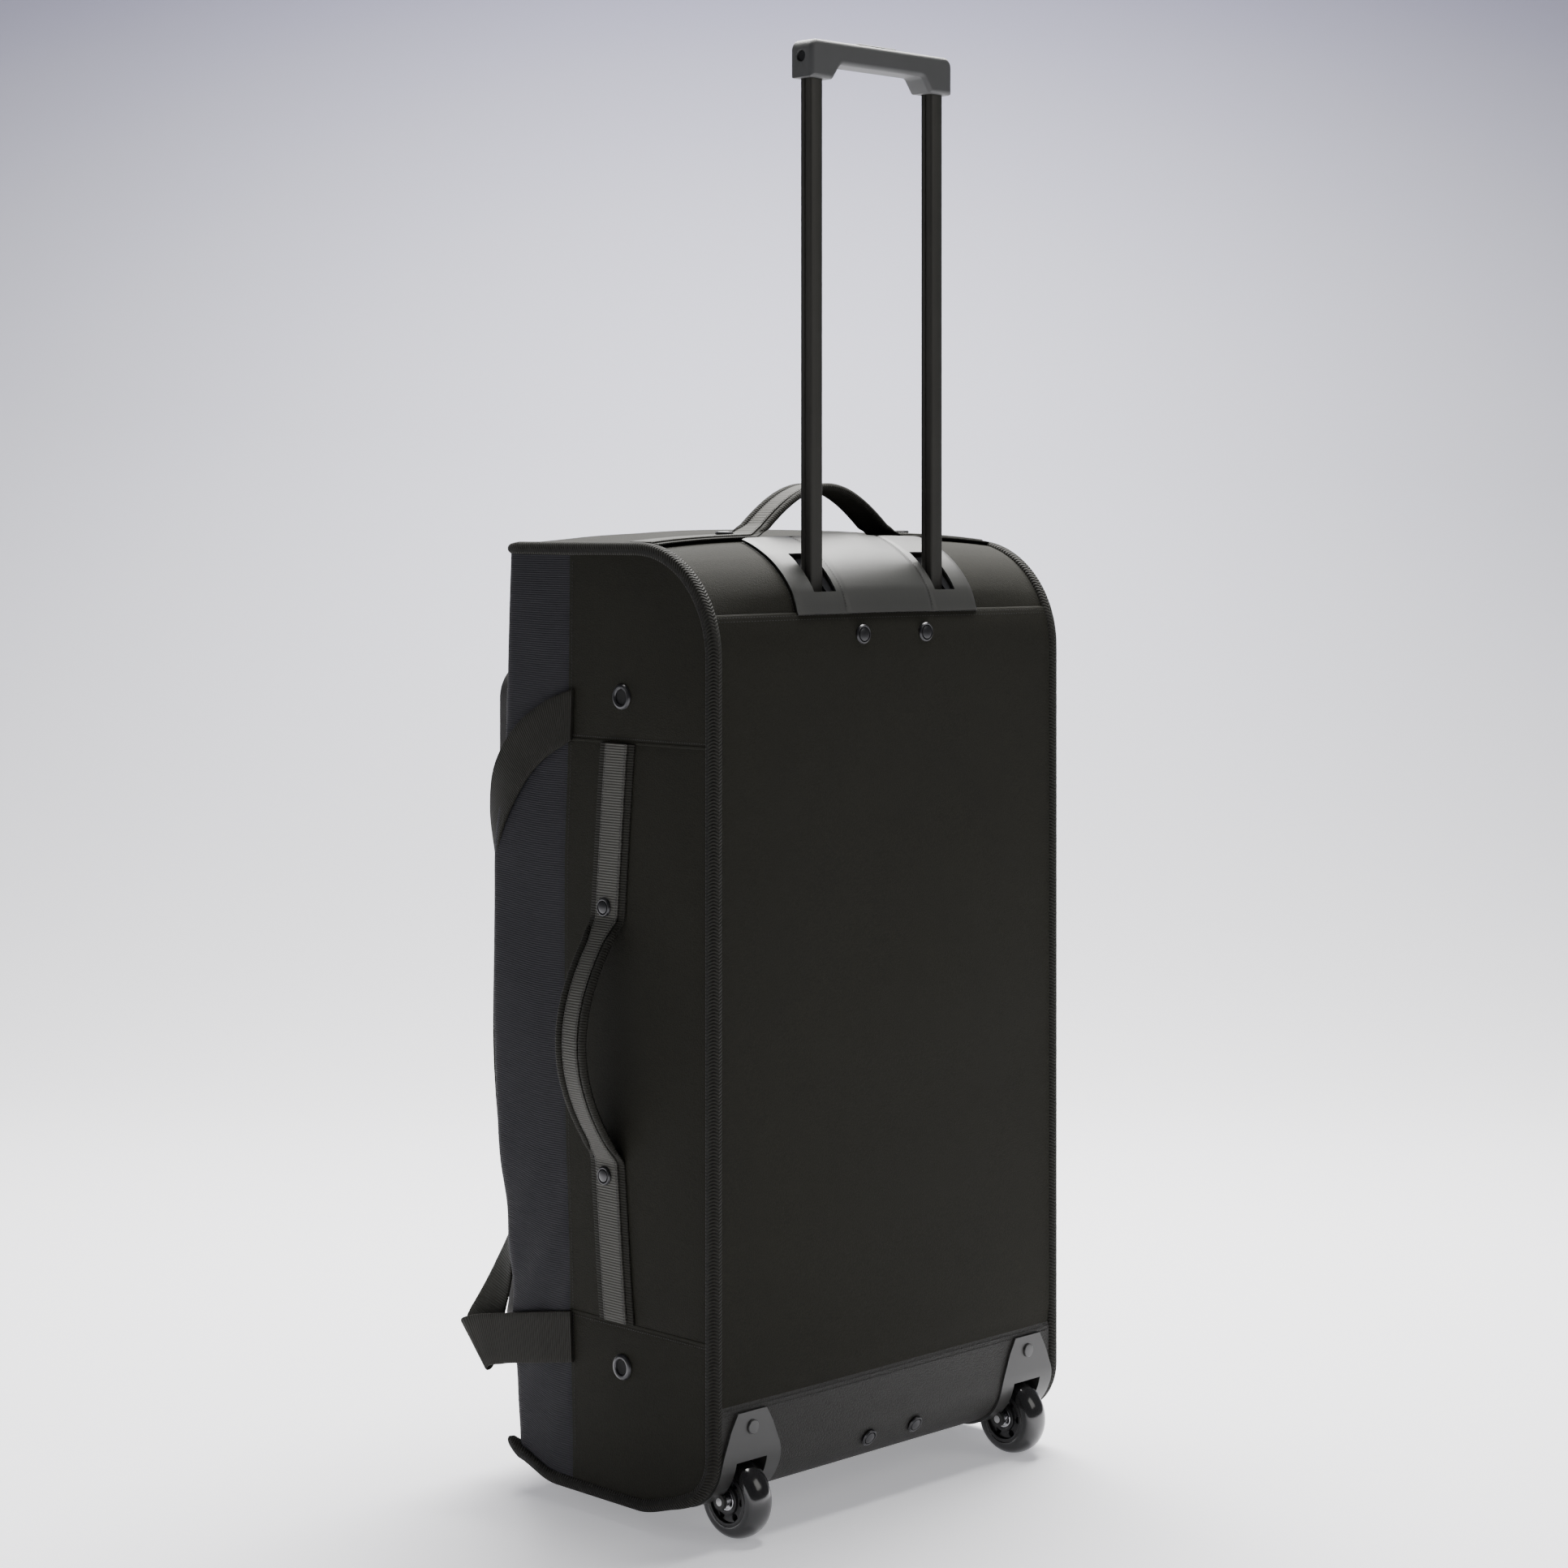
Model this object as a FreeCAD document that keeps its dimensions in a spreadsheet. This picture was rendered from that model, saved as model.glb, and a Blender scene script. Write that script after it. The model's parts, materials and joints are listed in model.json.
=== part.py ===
import FreeCAD, Part
import os
import re

import Sketcher

# A wheeled hockey equipment bag that stands on two wheels and two feet.
# Frame: +Z up, the trolley and the wheels at the back (+Y), the lid at the front (-Y),
# X across the bag. The origin is on the ground, in the middle of the whole object.
# All sizes are in millimetres.

SIZES = {
    # the soft body
    "bag_width": 392, "bag_depth": 236, "bag_height": 724, "ground_gap": 28,
    "cloth": 3, "board": 2, "top_round": 84, "base_round": 42, "edge_round": 18,
    "hem_drop": 55, "guard_height": 77, "guard_run": 90, "gusset_reach": 76,
    "side_seam_drop": 154, "side_seam_rise": 125, "front_border": 40,
    "binding_wide": 8, "binding_proud": 3,
    # the lid on the front, its raised rim and its zip
    "lid_drop": 101, "lid_rise": 90, "lid_round": 28, "rim_depth": 42,
    "coil": 3.5, "coil_gap": 0.4, "lid_thick": 9, "slider_place": 14, "slider_size": 9,
    "pull_long": 32, "pull_thick": 2.5, "pull_gap": 1.8,
    # the trolley
    "reach_height": 1141, "stroke": 360, "tube_spacing": 138, "tube_inset": 21.5,
    "tube_wide": 13.5, "tube_deep": 12, "tube_wall": 1, "run_gap": 0.3, "guide_wall": 1.2,
    "tube_overlap": 76, "guide_top_drop": 48, "socket_deep": 14, "bridge_long": 186,
    "bridge_deep": 20, "bridge_high": 30,
    "grip_long": 162, "grip_deep": 24, "grip_bar": 18, "grip_end": 30, "grip_foot": 25,
    "button_long": 44, "button_deep": 10, "button_travel": 5, "button_proud": 2,
    "rod_radius": 2, "pin_radius": 2.5, "pin_travel": 2,
    # the wheels
    "wheel_radius": 30.5, "wheel_wide": 24, "wheel_side": 38, "wheel_inset": 13,
    "hub_radius": 20, "bearing_radius": 8, "bearing_wide": 5, "axle_radius": 3,
    "axle_gap": 0.05, "slot_wide": 32, "housing_wall": 3, "housing_wide": 62,
    "housing_top": 30, "housing_skin": 4, "housing_rise": 71, "housing_run": 62,
    "boss_radius": 6, "wheel_room": 4, "cup_round": 28, "shield_round": 30,
    "spoke_windows": 6, "spoke_hole": 2.6,
    # handles, straps, feet and small fittings
    "handle_wide": 38, "webbing_wide": 25, "webbing": 2, "arch_high": 44, "arch_wall": 4,
    "side_arch_top": 461, "side_arch_low": 278, "side_handle_inset": 112.5, "side_stud_up": 10,
    "side_stud_down": 13, "top_handle_inset": 86, "top_arch_half": 82, "top_stud_out": 19,
    "arch_lean": 52, "arch_foot": 5, "arch_bend": 40, "arch_pad": 4,
    "strap_wide": 40, "strap_thick": 3, "strap_stand": 3.5,
    "foot_radius": 15, "foot_place": 120, "foot_inset": 190,
    "rivet_radius": 7.5, "rivet_proud": 2.5, "shank_radius": 2.5, "eyelet_radius": 10,
    "eyelet_hole": 6, "eyelet_inset": 98, "eyelet_drop": 119, "eyelet_rise": 92,
    "snap_place": 36, "snap_drop": 18, "snap_shank": 12, "bridge_rivet_place": 26.5,
    "bridge_rivet_rise": 25, "bridge_shank": 5, "housing_rivet_drop": 12,
    "patch_half": 103, "patch_gap": 1, "patch_thick": 2, "window_wide": 24, "window_deep": 19,
}

# Places that follow from the sizes. Each is a formula in the names above.
PLACES = {
    "lid_reach": "rim_depth + 2 * coil + coil_gap + lid_thick",
    "back": "(bag_depth + lid_reach + pull_gap + pull_thick - wheel_radius + wheel_inset) / 2",
    "front": "back - bag_depth",
    "base": "ground_gap",
    "top": "ground_gap + bag_height",
    "side": "bag_width / 2",
    "inner_side": "side - cloth",
    "hem": "top - hem_drop",
    "guard_top": "base + guard_height",
    "guard_end": "back - guard_run",
    "gusset": "front + gusset_reach",
    "upper_seam": "top - side_seam_drop",
    "lower_seam": "base + side_seam_rise",
    "inner": "back - cloth",
    "board_face": "inner - board",
    "lid_half": "side - front_border",
    "lid_top": "top - lid_drop",
    "lid_low": "base + lid_rise",
    "rim": "front - rim_depth",
    "lid_back": "rim - coil - coil_gap",
    "lid_face": "lid_back - coil - lid_thick",
    "tube_x": "tube_spacing / 2",
    "tube_y": "back - tube_inset",
    "guide_wide": "tube_wide + 2 * run_gap + 2 * guide_wall",
    "guide_deep": "tube_deep + 2 * run_gap + 2 * guide_wall",
    "guide_top": "top - guide_top_drop",
    "guide_low": "base + 20",
    "bar_low": "reach_height - grip_bar",
    "foot_low": "reach_height - grip_end",
    "tube_top": "foot_low + socket_deep",
    "tube_low": "guide_top - tube_overlap",
    "pin_z": "tube_low + 14",
    "bridge_top": "hem - 14",
    "board_top": "top - top_round - 2",
    "bridge_low": "bridge_top - bridge_high",
    "wheel_x": "side - wheel_side",
    "wheel_y": "back - wheel_inset",
    "wheel_z": "wheel_radius",
    "cup_half": "slot_wide / 2",
    "room": "wheel_radius + wheel_room",
    "cup_front": "wheel_y - room - housing_wall",
    "cup_top": "wheel_z + room + housing_wall",
    "cheek_top": "max(cup_top + 5; base + base_round + 3)",
    "housing_z": "base + housing_rise",
    "handle_y": "back - side_handle_inset",
    "top_handle_y": "back - top_handle_inset",
    "patch_front": "top_handle_y + handle_wide / 2 + patch_gap",
    "strap_x": "side + strap_stand",
}

doc = FreeCAD.newDocument("hockey_bag")
sheet = doc.addObject("Spreadsheet::Sheet", "sizes")
for row, (name, value) in enumerate(SIZES.items(), 1):
    sheet.set("A%d" % row, name)
    sheet.set("B%d" % row, str(value))
    sheet.setAlias("B%d" % row, name)
doc.recompute()

NODES = {}
V = FreeCAD.Vector


def formula(text):
    """The text with each place spelled out and each size read from the sheet."""
    def spell(word):
        name = word.group(0)
        if name in PLACES:
            return "(" + formula(PLACES[name]) + ")"
        return "sizes." + name if name in SIZES else name
    return re.sub(r"[a-z_]+", spell, str(text))


def number(text):
    """The value of a formula now, for the first shape of a sketch."""
    return float(sheet.evalExpression(formula(text)))


def bind(item, **formulas):
    """Bind properties of an object to formulas. A double underscore stands for a dot."""
    for name, text in formulas.items():
        item.setExpression(name.replace("__", "."), formula(text))
    return item


def keep(item, label):
    """Name the object as a sub-part that is written out."""
    item.Label = label
    NODES[label] = item
    return item


def across(sign, near, far):
    """A span of X on one side of the middle, from the lower value to the higher."""
    if sign > 0:
        return near, far
    return "-(%s)" % far, "-(%s)" % near


def parallel_edges(shape, plane, corners):
    """Names of the straight edges that stand on the given corners of a sketch plane."""
    pick = {"XY": lambda p: (p.x, p.y), "XZ": lambda p: (p.x, p.z),
            "YZ": lambda p: (p.y, p.z)}[plane]
    along = {"XY": V(0, 0, 1), "XZ": V(0, 1, 0), "YZ": V(1, 0, 0)}[plane]
    names = []
    for index, edge in enumerate(shape.Edges, 1):
        if edge.Curve.TypeId != "Part::GeomLine":
            continue
        if abs(edge.tangentAt(edge.FirstParameter).dot(along)) < 0.999:
            continue
        a, b = pick(edge.CenterOfMass)
        if any(abs(a - u) + abs(b - v) < 0.01 for u, v in corners):
            names.append("Edge%d" % index)
    return names


def outline(sketch, corners):
    """A closed polygon whose corners are bound to formulas."""
    first = len(sketch.Geometry)
    spots = [V(number(u), number(v), 0) for u, v in corners]
    count = len(spots)
    sketch.addGeometry([Part.LineSegment(spots[i], spots[(i + 1) % count]) for i in range(count)])
    for i in range(count):
        sketch.addConstraint(Sketcher.Constraint("Coincident", first + i, 2, first + (i + 1) % count, 1))
    for i, (u, v) in enumerate(corners):
        for kind, text, value in (("DistanceX", u, spots[i].x), ("DistanceY", v, spots[i].y)):
            spot = sketch.addConstraint(Sketcher.Constraint(kind, -1, 1, first + i, 1, value))
            sketch.setExpression("Constraints[%d]" % spot, formula(text))


def prism(label, plane, corners, span, rounds=(), holes=()):
    """A body padded from a polygon, with holes, between two places along the plane's normal.

    Each entry of rounds is a radius and the corners that it rounds.
    """
    body = doc.addObject("PartDesign::Body", label + "_body")
    sketch = body.newObject("Sketcher::SketchObject", label + "_outline")
    face = [f for f in body.Origin.OriginFeatures if f.Role == plane + "_Plane"][0]
    sketch.AttachmentSupport = [(face, "")]
    sketch.MapMode = "FlatFace"
    low, high = span
    start = "-(%s)" % high if plane == "XZ" else low
    sketch.setExpression("AttachmentOffset.Base.z", formula(start))
    for corner_list in [corners, *holes]:
        outline(sketch, corner_list)
    pad = body.newObject("PartDesign::Pad", label + "_pad")
    pad.Profile = sketch
    sketch.Visibility = False
    pad.setExpression("Length", formula("(%s) - (%s)" % (high, low)))
    doc.recompute()
    last = pad
    for step, (radius, places) in enumerate(rounds):
        spots = [(number(u), number(v)) for u, v in places]
        fillet = body.newObject("PartDesign::Fillet", "%s_round_%d" % (label, step))
        fillet.Base = (last, parallel_edges(last.Shape, plane, spots))
        fillet.setExpression("Radius", formula(radius))
        doc.recompute()
        last = fillet
    body.Tip = last
    body.Label = label
    return body


def soften(body, radius, test):
    """Round the edges of a body that pass the test, with one radius."""
    base = body.Tip
    names = ["Edge%d" % i for i, edge in enumerate(base.Shape.Edges, 1) if test(edge)]
    fillet = body.newObject("PartDesign::Fillet", body.Name + "_soft")
    fillet.Base = (base, names)
    fillet.setExpression("Radius", formula(radius))
    body.Tip = fillet
    doc.recompute()
    return body


def turned(label, axis, place, profile):
    """A body turned about a line along an axis through a place, from corners (along, radius)."""
    body = doc.addObject("PartDesign::Body", label + "_body")
    sketch = body.newObject("Sketcher::SketchObject", label + "_profile")
    face = [f for f in body.Origin.OriginFeatures if f.Role == "XY_Plane"][0]
    sketch.AttachmentSupport = [(face, "")]
    sketch.MapMode = "FlatFace"
    outline(sketch, profile)
    turn = body.newObject("PartDesign::Revolution", label + "_turn")
    turn.Profile = sketch
    turn.ReferenceAxis = (sketch, ["H_Axis"])
    turn.Angle = 360
    sketch.Visibility = False
    turning = {"X": (V(0, 0, 1), 0), "-X": (V(0, 0, 1), 180), "Y": (V(0, 0, 1), 90),
               "Z": (V(0, 1, 0), -90)}
    body.Placement = FreeCAD.Placement(V(), FreeCAD.Rotation(*turning[axis]))
    bind(body, Placement__Base__x=place[0], Placement__Base__y=place[1], Placement__Base__z=place[2])
    body.Label = label
    doc.recompute()
    return body


def block(label, spans):
    """A box between low and high places along X, Y and Z."""
    item = doc.addObject("Part::Box", label)
    (x0, x1), (y0, y1), (z0, z1) = spans
    bind(item, Length="(%s) - (%s)" % (x1, x0), Width="(%s) - (%s)" % (y1, y0),
         Height="(%s) - (%s)" % (z1, z0))
    bind(item, Placement__Base__x=x0, Placement__Base__y=y0, Placement__Base__z=z0)
    return item


def bar(label, axis, place, radius, length):
    """A round bar that starts at a place and runs along an axis."""
    item = doc.addObject("Part::Cylinder", label)
    turning = {"X": (V(0, 1, 0), 90), "Y": (V(1, 0, 0), -90), "Z": (V(0, 0, 1), 0)}
    item.Placement = FreeCAD.Placement(V(), FreeCAD.Rotation(*turning[axis]))
    bind(item, Radius=radius, Height=length)
    bind(item, Placement__Base__x=place[0], Placement__Base__y=place[1], Placement__Base__z=place[2])
    return item


def cut(label, base, tools):
    """The base with every tool taken out of it."""
    item = doc.addObject("Part::Cut", label)
    item.Base = base
    item.Tool = tools[0] if len(tools) == 1 else group(label + "_tools", tools)
    return item


def join(label, pieces):
    """Several shapes that are one solid."""
    item = doc.addObject("Part::MultiFuse", label)
    item.Shapes = pieces
    return item


def group(label, pieces):
    """Separate solids that share one node."""
    item = doc.addObject("Part::Compound", label)
    item.Links = pieces
    return item


SIDES = (("left", -1), ("right", 1))


# ---- the sleeve: one band of cloth over the top, down the back and under the base ----
def sleeve():
    """Top panel, back panel, grained guard and bottom panel, and the stiff board behind the back."""
    width = ("-(inner_side)", "inner_side")
    upper = [
        prism(label, "YZ",
              [("front", "top"), ("back", "top"), ("back", "guard_top"), ("inner", "guard_top"),
               ("inner", "top - cloth"), ("front", "top - cloth")],
              width,
              [("top_round", [("back", "top")]), ("top_round - cloth", [("inner", "top - cloth")])])
        for label in ("top_shell", "back_shell")]
    whole = ("-(side + cloth)", "side + cloth")
    depth = ("front - cloth", "back + cloth")
    off_top = [block("below_hem", (whole, depth, ("guard_top - cloth", "hem")))]
    for name, sign in SIDES:
        off_top.append(block("top_window_" + name, (
            ("%d * tube_x - window_wide / 2" % sign, "%d * tube_x + window_wide / 2" % sign),
            ("tube_y - window_deep / 2", "tube_y + window_deep / 2"), ("hem", "top + cloth"))))
    keep(cut("top_panel_cut", upper[0], off_top), "top_panel")
    off_back = [block("above_hem", (whole, depth, ("hem", "top + cloth")))]
    for name, sign in SIDES:
        off_back.append(bar("snap_hole_" + name, "Y", ("%d * snap_place" % sign, "inner - cloth", "hem - snap_drop"),
                            "shank_radius", "2 * cloth + 2"))
    keep(cut("back_panel_cut", upper[1], off_back), "back_panel")

    guard = prism(
        "guard_shell", "YZ",
        [("guard_end", "base"), ("back", "base"), ("back", "guard_top"), ("inner", "guard_top"),
         ("inner", "base + cloth"), ("guard_end", "base + cloth")],
        width,
        [("base_round", [("back", "base")]), ("base_round - cloth", [("inner", "base + cloth")])])
    openings = []
    for name, sign in SIDES:
        low = "%d * wheel_x - cup_half - housing_wall - run_gap" % sign
        high = "%d * wheel_x + cup_half + housing_wall + run_gap" % sign
        openings.append(block("guard_window_" + name, (
            (low, high), ("cup_front - run_gap", "back + cloth"), ("base - cloth", "cheek_top + run_gap"))))
        openings.append(bar("guard_hole_" + name, "Y", ("%d * wheel_x" % sign, "inner - 1",
                                                    "housing_z - housing_rivet_drop"),
                            "shank_radius", "cloth + 2"))
        openings.append(bar("guard_bridge_hole_" + name, "Y",
                            ("%d * bridge_rivet_place" % sign, "back - base_round / 2", "base + bridge_rivet_rise"),
                            "shank_radius", "base_round / 2"))
    keep(cut("lower_guard_cut", guard, openings), "lower_guard")

    keep(block("bottom_panel_sheet", (width, ("front", "guard_end"), ("base", "base + cloth"))),
         "bottom_panel")

    board = prism(
        "board_sheet", "XZ",
        [("-(inner_side - 8)", "cup_top + 14"), ("inner_side - 8", "cup_top + 14"),
         ("inner_side - 8", "board_top"), ("-(inner_side - 8)", "board_top")],
        ("board_face", "inner"))
    spots = [bar("board_hole_" + name, "Y",
                 ("%d * wheel_x" % sign, "board_face - 1", "housing_z - housing_rivet_drop"),
                 "shank_radius", "board + 2")
             for name, sign in SIDES]
    keep(cut("back_board_cut", board, spots), "back_board")


# ---- the two sides, each in three black panels and one ribbed front gusset ----
def sides():
    """Flat side panels with their seams, the gussets that turn the front edges, and the bindings."""
    for name, sign in SIDES:
        wall = across(sign, "inner_side", "side")
        middle = prism(
            "side_middle_" + name, "YZ",
            [("gusset", "lower_seam"), ("back", "lower_seam"),
             ("back", "upper_seam"), ("gusset", "upper_seam")],
            wall)
        keep(middle, "side_panel_" + name)
        upper = prism(
            "side_upper_" + name, "YZ",
            [("gusset", "upper_seam"), ("back", "upper_seam"), ("back", "top"), ("gusset", "top")],
            wall, [("top_round", [("back", "top")])])
        lower = prism(
            "side_lower_" + name, "YZ",
            [("gusset", "base"), ("back", "base"), ("back", "lower_seam"), ("gusset", "lower_seam")],
            wall, [("base_round", [("back", "base")])])
        vents = [bar("vent_%s_%s" % (end, name), "X",
                     ("%d * side - cloth - 1" % sign, "back - eyelet_inset", z),
                     "eyelet_hole + 1", "2 * cloth + 4")
                 for end, z in (("upper", "top - eyelet_drop"), ("lower", "base + eyelet_rise"))]
        corners = group("side_corners_" + name, [cut("side_upper_cut_" + name, upper, vents[:1]),
                                                 cut("side_lower_cut_" + name, lower, vents[1:])])
        keep(corners, "side_ends_" + name)
        edge = "%d * side" % sign
        inside = "%d * (inner_side)" % sign
        lip = "%d * (side - front_border)" % sign
        gusset = prism(
            "gusset_shell_" + name, "XY",
            [(edge, "gusset"), (edge, "front"), (lip, "front"), (lip, "front + cloth"),
             (inside, "front + cloth"), (inside, "gusset")],
            ("base + cloth", "top - cloth"),
            [("edge_round", [(edge, "front")]), ("edge_round - cloth", [(inside, "front + cloth")])])
        keep(gusset, "front_gusset_" + name)
        near = across(sign, "side - binding_wide + 2", "side + 2")
        binding = prism(
            "binding_band_" + name, "YZ",
            [("front - 2", "top + binding_proud"), ("back + binding_proud", "top + binding_proud"),
             ("back + binding_proud", "base - binding_proud"), ("front - 2", "base - binding_proud"),
             ("front - 2", "base"), ("back", "base"), ("back", "top"), ("front - 2", "top")],
            near,
            [("top_round + binding_proud", [("back + binding_proud", "top + binding_proud")]),
             ("top_round", [("back", "top")]),
             ("base_round + binding_proud", [("back + binding_proud", "base - binding_proud")]),
             ("base_round", [("back", "base")])])
        keep(binding, "binding_" + name)


# ---- the front: border strips, a raised rim, and the zip that closes the lid ----
def lid_outline(inset):
    """Corners of the lid's outline, moved in by an inset on three sides."""
    half = "lid_half - (%s)" % inset
    return [("-(%s)" % half, "lid_low"), (half, "lid_low"),
            (half, "lid_top - (%s)" % inset), ("-(%s)" % half, "lid_top - (%s)" % inset)]


def rim_band(label, inset, wall, span):
    """A band round the two sides and the top of the lid's outline, open at the bottom."""
    outer = lid_outline(inset)
    inner = lid_outline("(%s) + (%s)" % (inset, wall))
    corners = [outer[1], outer[2], outer[3], outer[0], inner[0], inner[3], inner[2], inner[1]]
    return prism(label, "XZ", corners, span,
                 [("lid_round - (%s)" % inset, outer[2:]),
                  ("lid_round - (%s) - (%s)" % (inset, wall), inner[2:])])


def front():
    """The border round the opening, the rim wall that stands on it, and both halves of the zip."""
    lip = "side - front_border"
    strips = [
        block("border_top", (("-(%s)" % lip, lip), ("front", "front + cloth"),
                             ("lid_top - cloth", "top - cloth"))),
        block("border_low", (("-(%s)" % lip, lip), ("front", "front + cloth"),
                             ("base + cloth", "lid_low + cloth")))]
    keep(group("border_strips", strips), "front_border")
    wall = rim_band("rim_wall", "0", "cloth", ("rim", "front"))
    sill = block("rim_sill", (("-(lid_half)", "lid_half"), ("rim", "front"),
                              ("lid_low", "lid_low + cloth")))
    keep(join("rim_joined", [wall, sill]), "opening_rim")
    keep(rim_band("zip_on_rim", "-1", "cloth + 2", ("rim - coil", "rim")), "zip_rim_half")


def lid():
    """The padded front lid, its half of the zip, and two sliders with their pulls."""
    keep(rim_band("zip_on_lid", "-1", "cloth + 2", ("lid_back - coil", "lid_back")), "zip_lid_half")
    panel = prism("lid_sheet", "XZ", lid_outline("0"), ("lid_face", "lid_back - coil"),
                  [("lid_round", lid_outline("0")[2:])])
    keep(panel, "lid_panel")
    ride = "lid_top + 1.3"
    for name, sign in SIDES:
        middle = "%d * slider_place" % sign
        x_span = ("%s - slider_size / 2" % middle, "%s + slider_size / 2" % middle)
        body = block("slider_body_" + name, (x_span, ("lid_back - coil - 3", "rim + 1"), (ride, ride + " + 5")))
        lug = block("slider_lug_" + name, (
            ("%s - 2" % middle, "%s + 2" % middle), ("lid_face - pull_gap + 1", "lid_back - coil - 3"),
            (ride + " + 1", ride + " + 5")))
        keep(join("slider_joined_" + name, [body, lug]), "zip_slider_" + name)
        tab = block("pull_tab_" + name, (
            ("%s - 4" % middle, "%s + 4" % middle), ("lid_face - pull_gap - pull_thick", "lid_face - pull_gap"),
            (ride + " + 4 - pull_long", ride + " + 5")))
        hole = block("pull_hole_" + name, (
            ("%s - 2.3" % middle, "%s + 2.3" % middle),
            ("lid_face - pull_gap - pull_thick - 1", "lid_face - pull_gap + 1"),
            (ride + " - 2.5", ride + " + 3")))
        keep(cut("pull_cut_" + name, tab, [hole]), "zip_pull_" + name)


# ---- the trolley: two guide tubes in the back, two sliding tubes, and the grip ----
def tube(label, centre, wide, deep, wall, span):
    """A rectangular tube that stands on a centre."""
    x, y = centre

    def ring(half_x, half_y):
        low_x, high_x = "%s - %s" % (x, half_x), "%s + %s" % (x, half_x)
        low_y, high_y = "%s - %s" % (y, half_y), "%s + %s" % (y, half_y)
        return [(low_x, low_y), (high_x, low_y), (high_x, high_y), (low_x, high_y)]
    outer = ring("(%s) / 2" % wide, "(%s) / 2" % deep)
    inner = ring("((%s) / 2 - %s)" % (wide, wall), "((%s) / 2 - %s)" % (deep, wall))
    return prism(label, "XY", outer, span, [("1.5", outer)], [inner])


def trolley_frame():
    """What stays in the bag: guide tubes, the seat they end in, the lower bridge and the lining."""
    guides = []
    for name, sign in SIDES:
        pipe = tube("guide_" + name, ("%d * tube_x" % sign, "tube_y"), "guide_wide", "guide_deep", "guide_wall",
                    ("guide_low", "guide_top"))
        start = "%d * tube_x" % sign if sign > 0 else "%d * tube_x - guide_wide" % sign
        locks = [bar("lock_hole_%s_%d" % (name, i), "X", (start, "tube_y", z), "pin_radius + 0.4", "guide_wide")
                 for i, z in enumerate(("pin_z", "pin_z - stroke"))]
        guides.append(cut("guide_cut_" + name, pipe, locks))
    keep(group("guides", guides), "guide_tubes")

    seat = block("seat_bar", (("-(bridge_long / 2)", "bridge_long / 2"),
                              ("tube_y - bridge_deep / 2 - 2", "board_face"), ("bridge_low", "bridge_top")))
    bores = [block("seat_bore_" + name, (
        ("%d * tube_x - guide_wide / 2" % sign, "%d * tube_x + guide_wide / 2" % sign),
        ("tube_y - guide_deep / 2", "tube_y + guide_deep / 2"), ("bridge_low - 1", "bridge_top + 1")))
        for name, sign in SIDES]
    shanks = [bar("seat_screw_" + name, "Y",
                  ("%d * snap_place" % sign, "board_face - snap_shank", "hem - snap_drop"),
                  "shank_radius", "snap_shank + 1")
              for name, sign in SIDES]
    keep(cut("seat_cut", seat, bores + shanks), "trolley_seat")

    bridge = block("bridge_bar", (("-(bridge_long / 2)", "bridge_long / 2"),
                                  ("tube_y - bridge_deep / 2", "tube_y + 7.5"), ("base + 17", "base + 44")))
    sockets = [block("bridge_socket_" + name, (
        ("%d * tube_x - guide_wide / 2" % sign, "%d * tube_x + guide_wide / 2" % sign),
        ("tube_y - guide_deep / 2", "tube_y + guide_deep / 2"), ("guide_low", "base + 45")))
        for name, sign in SIDES]
    shanks = [bar("bridge_screw_" + name, "Y",
                  ("%d * bridge_rivet_place" % sign, "tube_y - bridge_shank", "base + bridge_rivet_rise"),
                  "shank_radius", "bridge_deep")
              for name, sign in SIDES]
    keep(cut("bridge_cut", bridge, sockets + shanks), "lower_bridge")

    keep(block("cover_sheet", (("-(bridge_long / 2 + 6)", "bridge_long / 2 + 6"),
                               ("tube_y - bridge_deep / 2 - 4", "tube_y - bridge_deep / 2 - 2"),
                               ("base + cloth + 2", "bridge_top - 1"))), "trolley_lining")

    patch = prism(
        "patch_shell", "YZ",
        [("back - top_round - cloth", "top + patch_thick"), ("back + patch_thick", "top + patch_thick"),
         ("back + patch_thick", "upper_seam"), ("back", "upper_seam"), ("back", "top"),
         ("back - top_round - cloth", "top")],
        ("-(patch_half)", "patch_half"),
        [("top_round + patch_thick", [("back + patch_thick", "top + patch_thick")]),
         ("top_round", [("back", "top")])])
    off_patch = [
        block("patch_ahead", (("-(side)", "side"), ("front", "patch_front"), ("hem", "top + cloth"))),
        block("patch_below", (("-(side)", "side"), ("front", "back + 2 * cloth"), ("lower_seam", "hem")))]
    windows = [block("patch_window_" + name, (
        ("%d * tube_x - window_wide / 2" % sign, "%d * tube_x + window_wide / 2" % sign),
        ("tube_y - window_deep / 2", "tube_y + window_deep / 2"), ("hem", "top + 9")))
        for name, sign in SIDES]
    keep(cut("patch_cut", patch, off_patch + windows), "top_patch")


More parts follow.
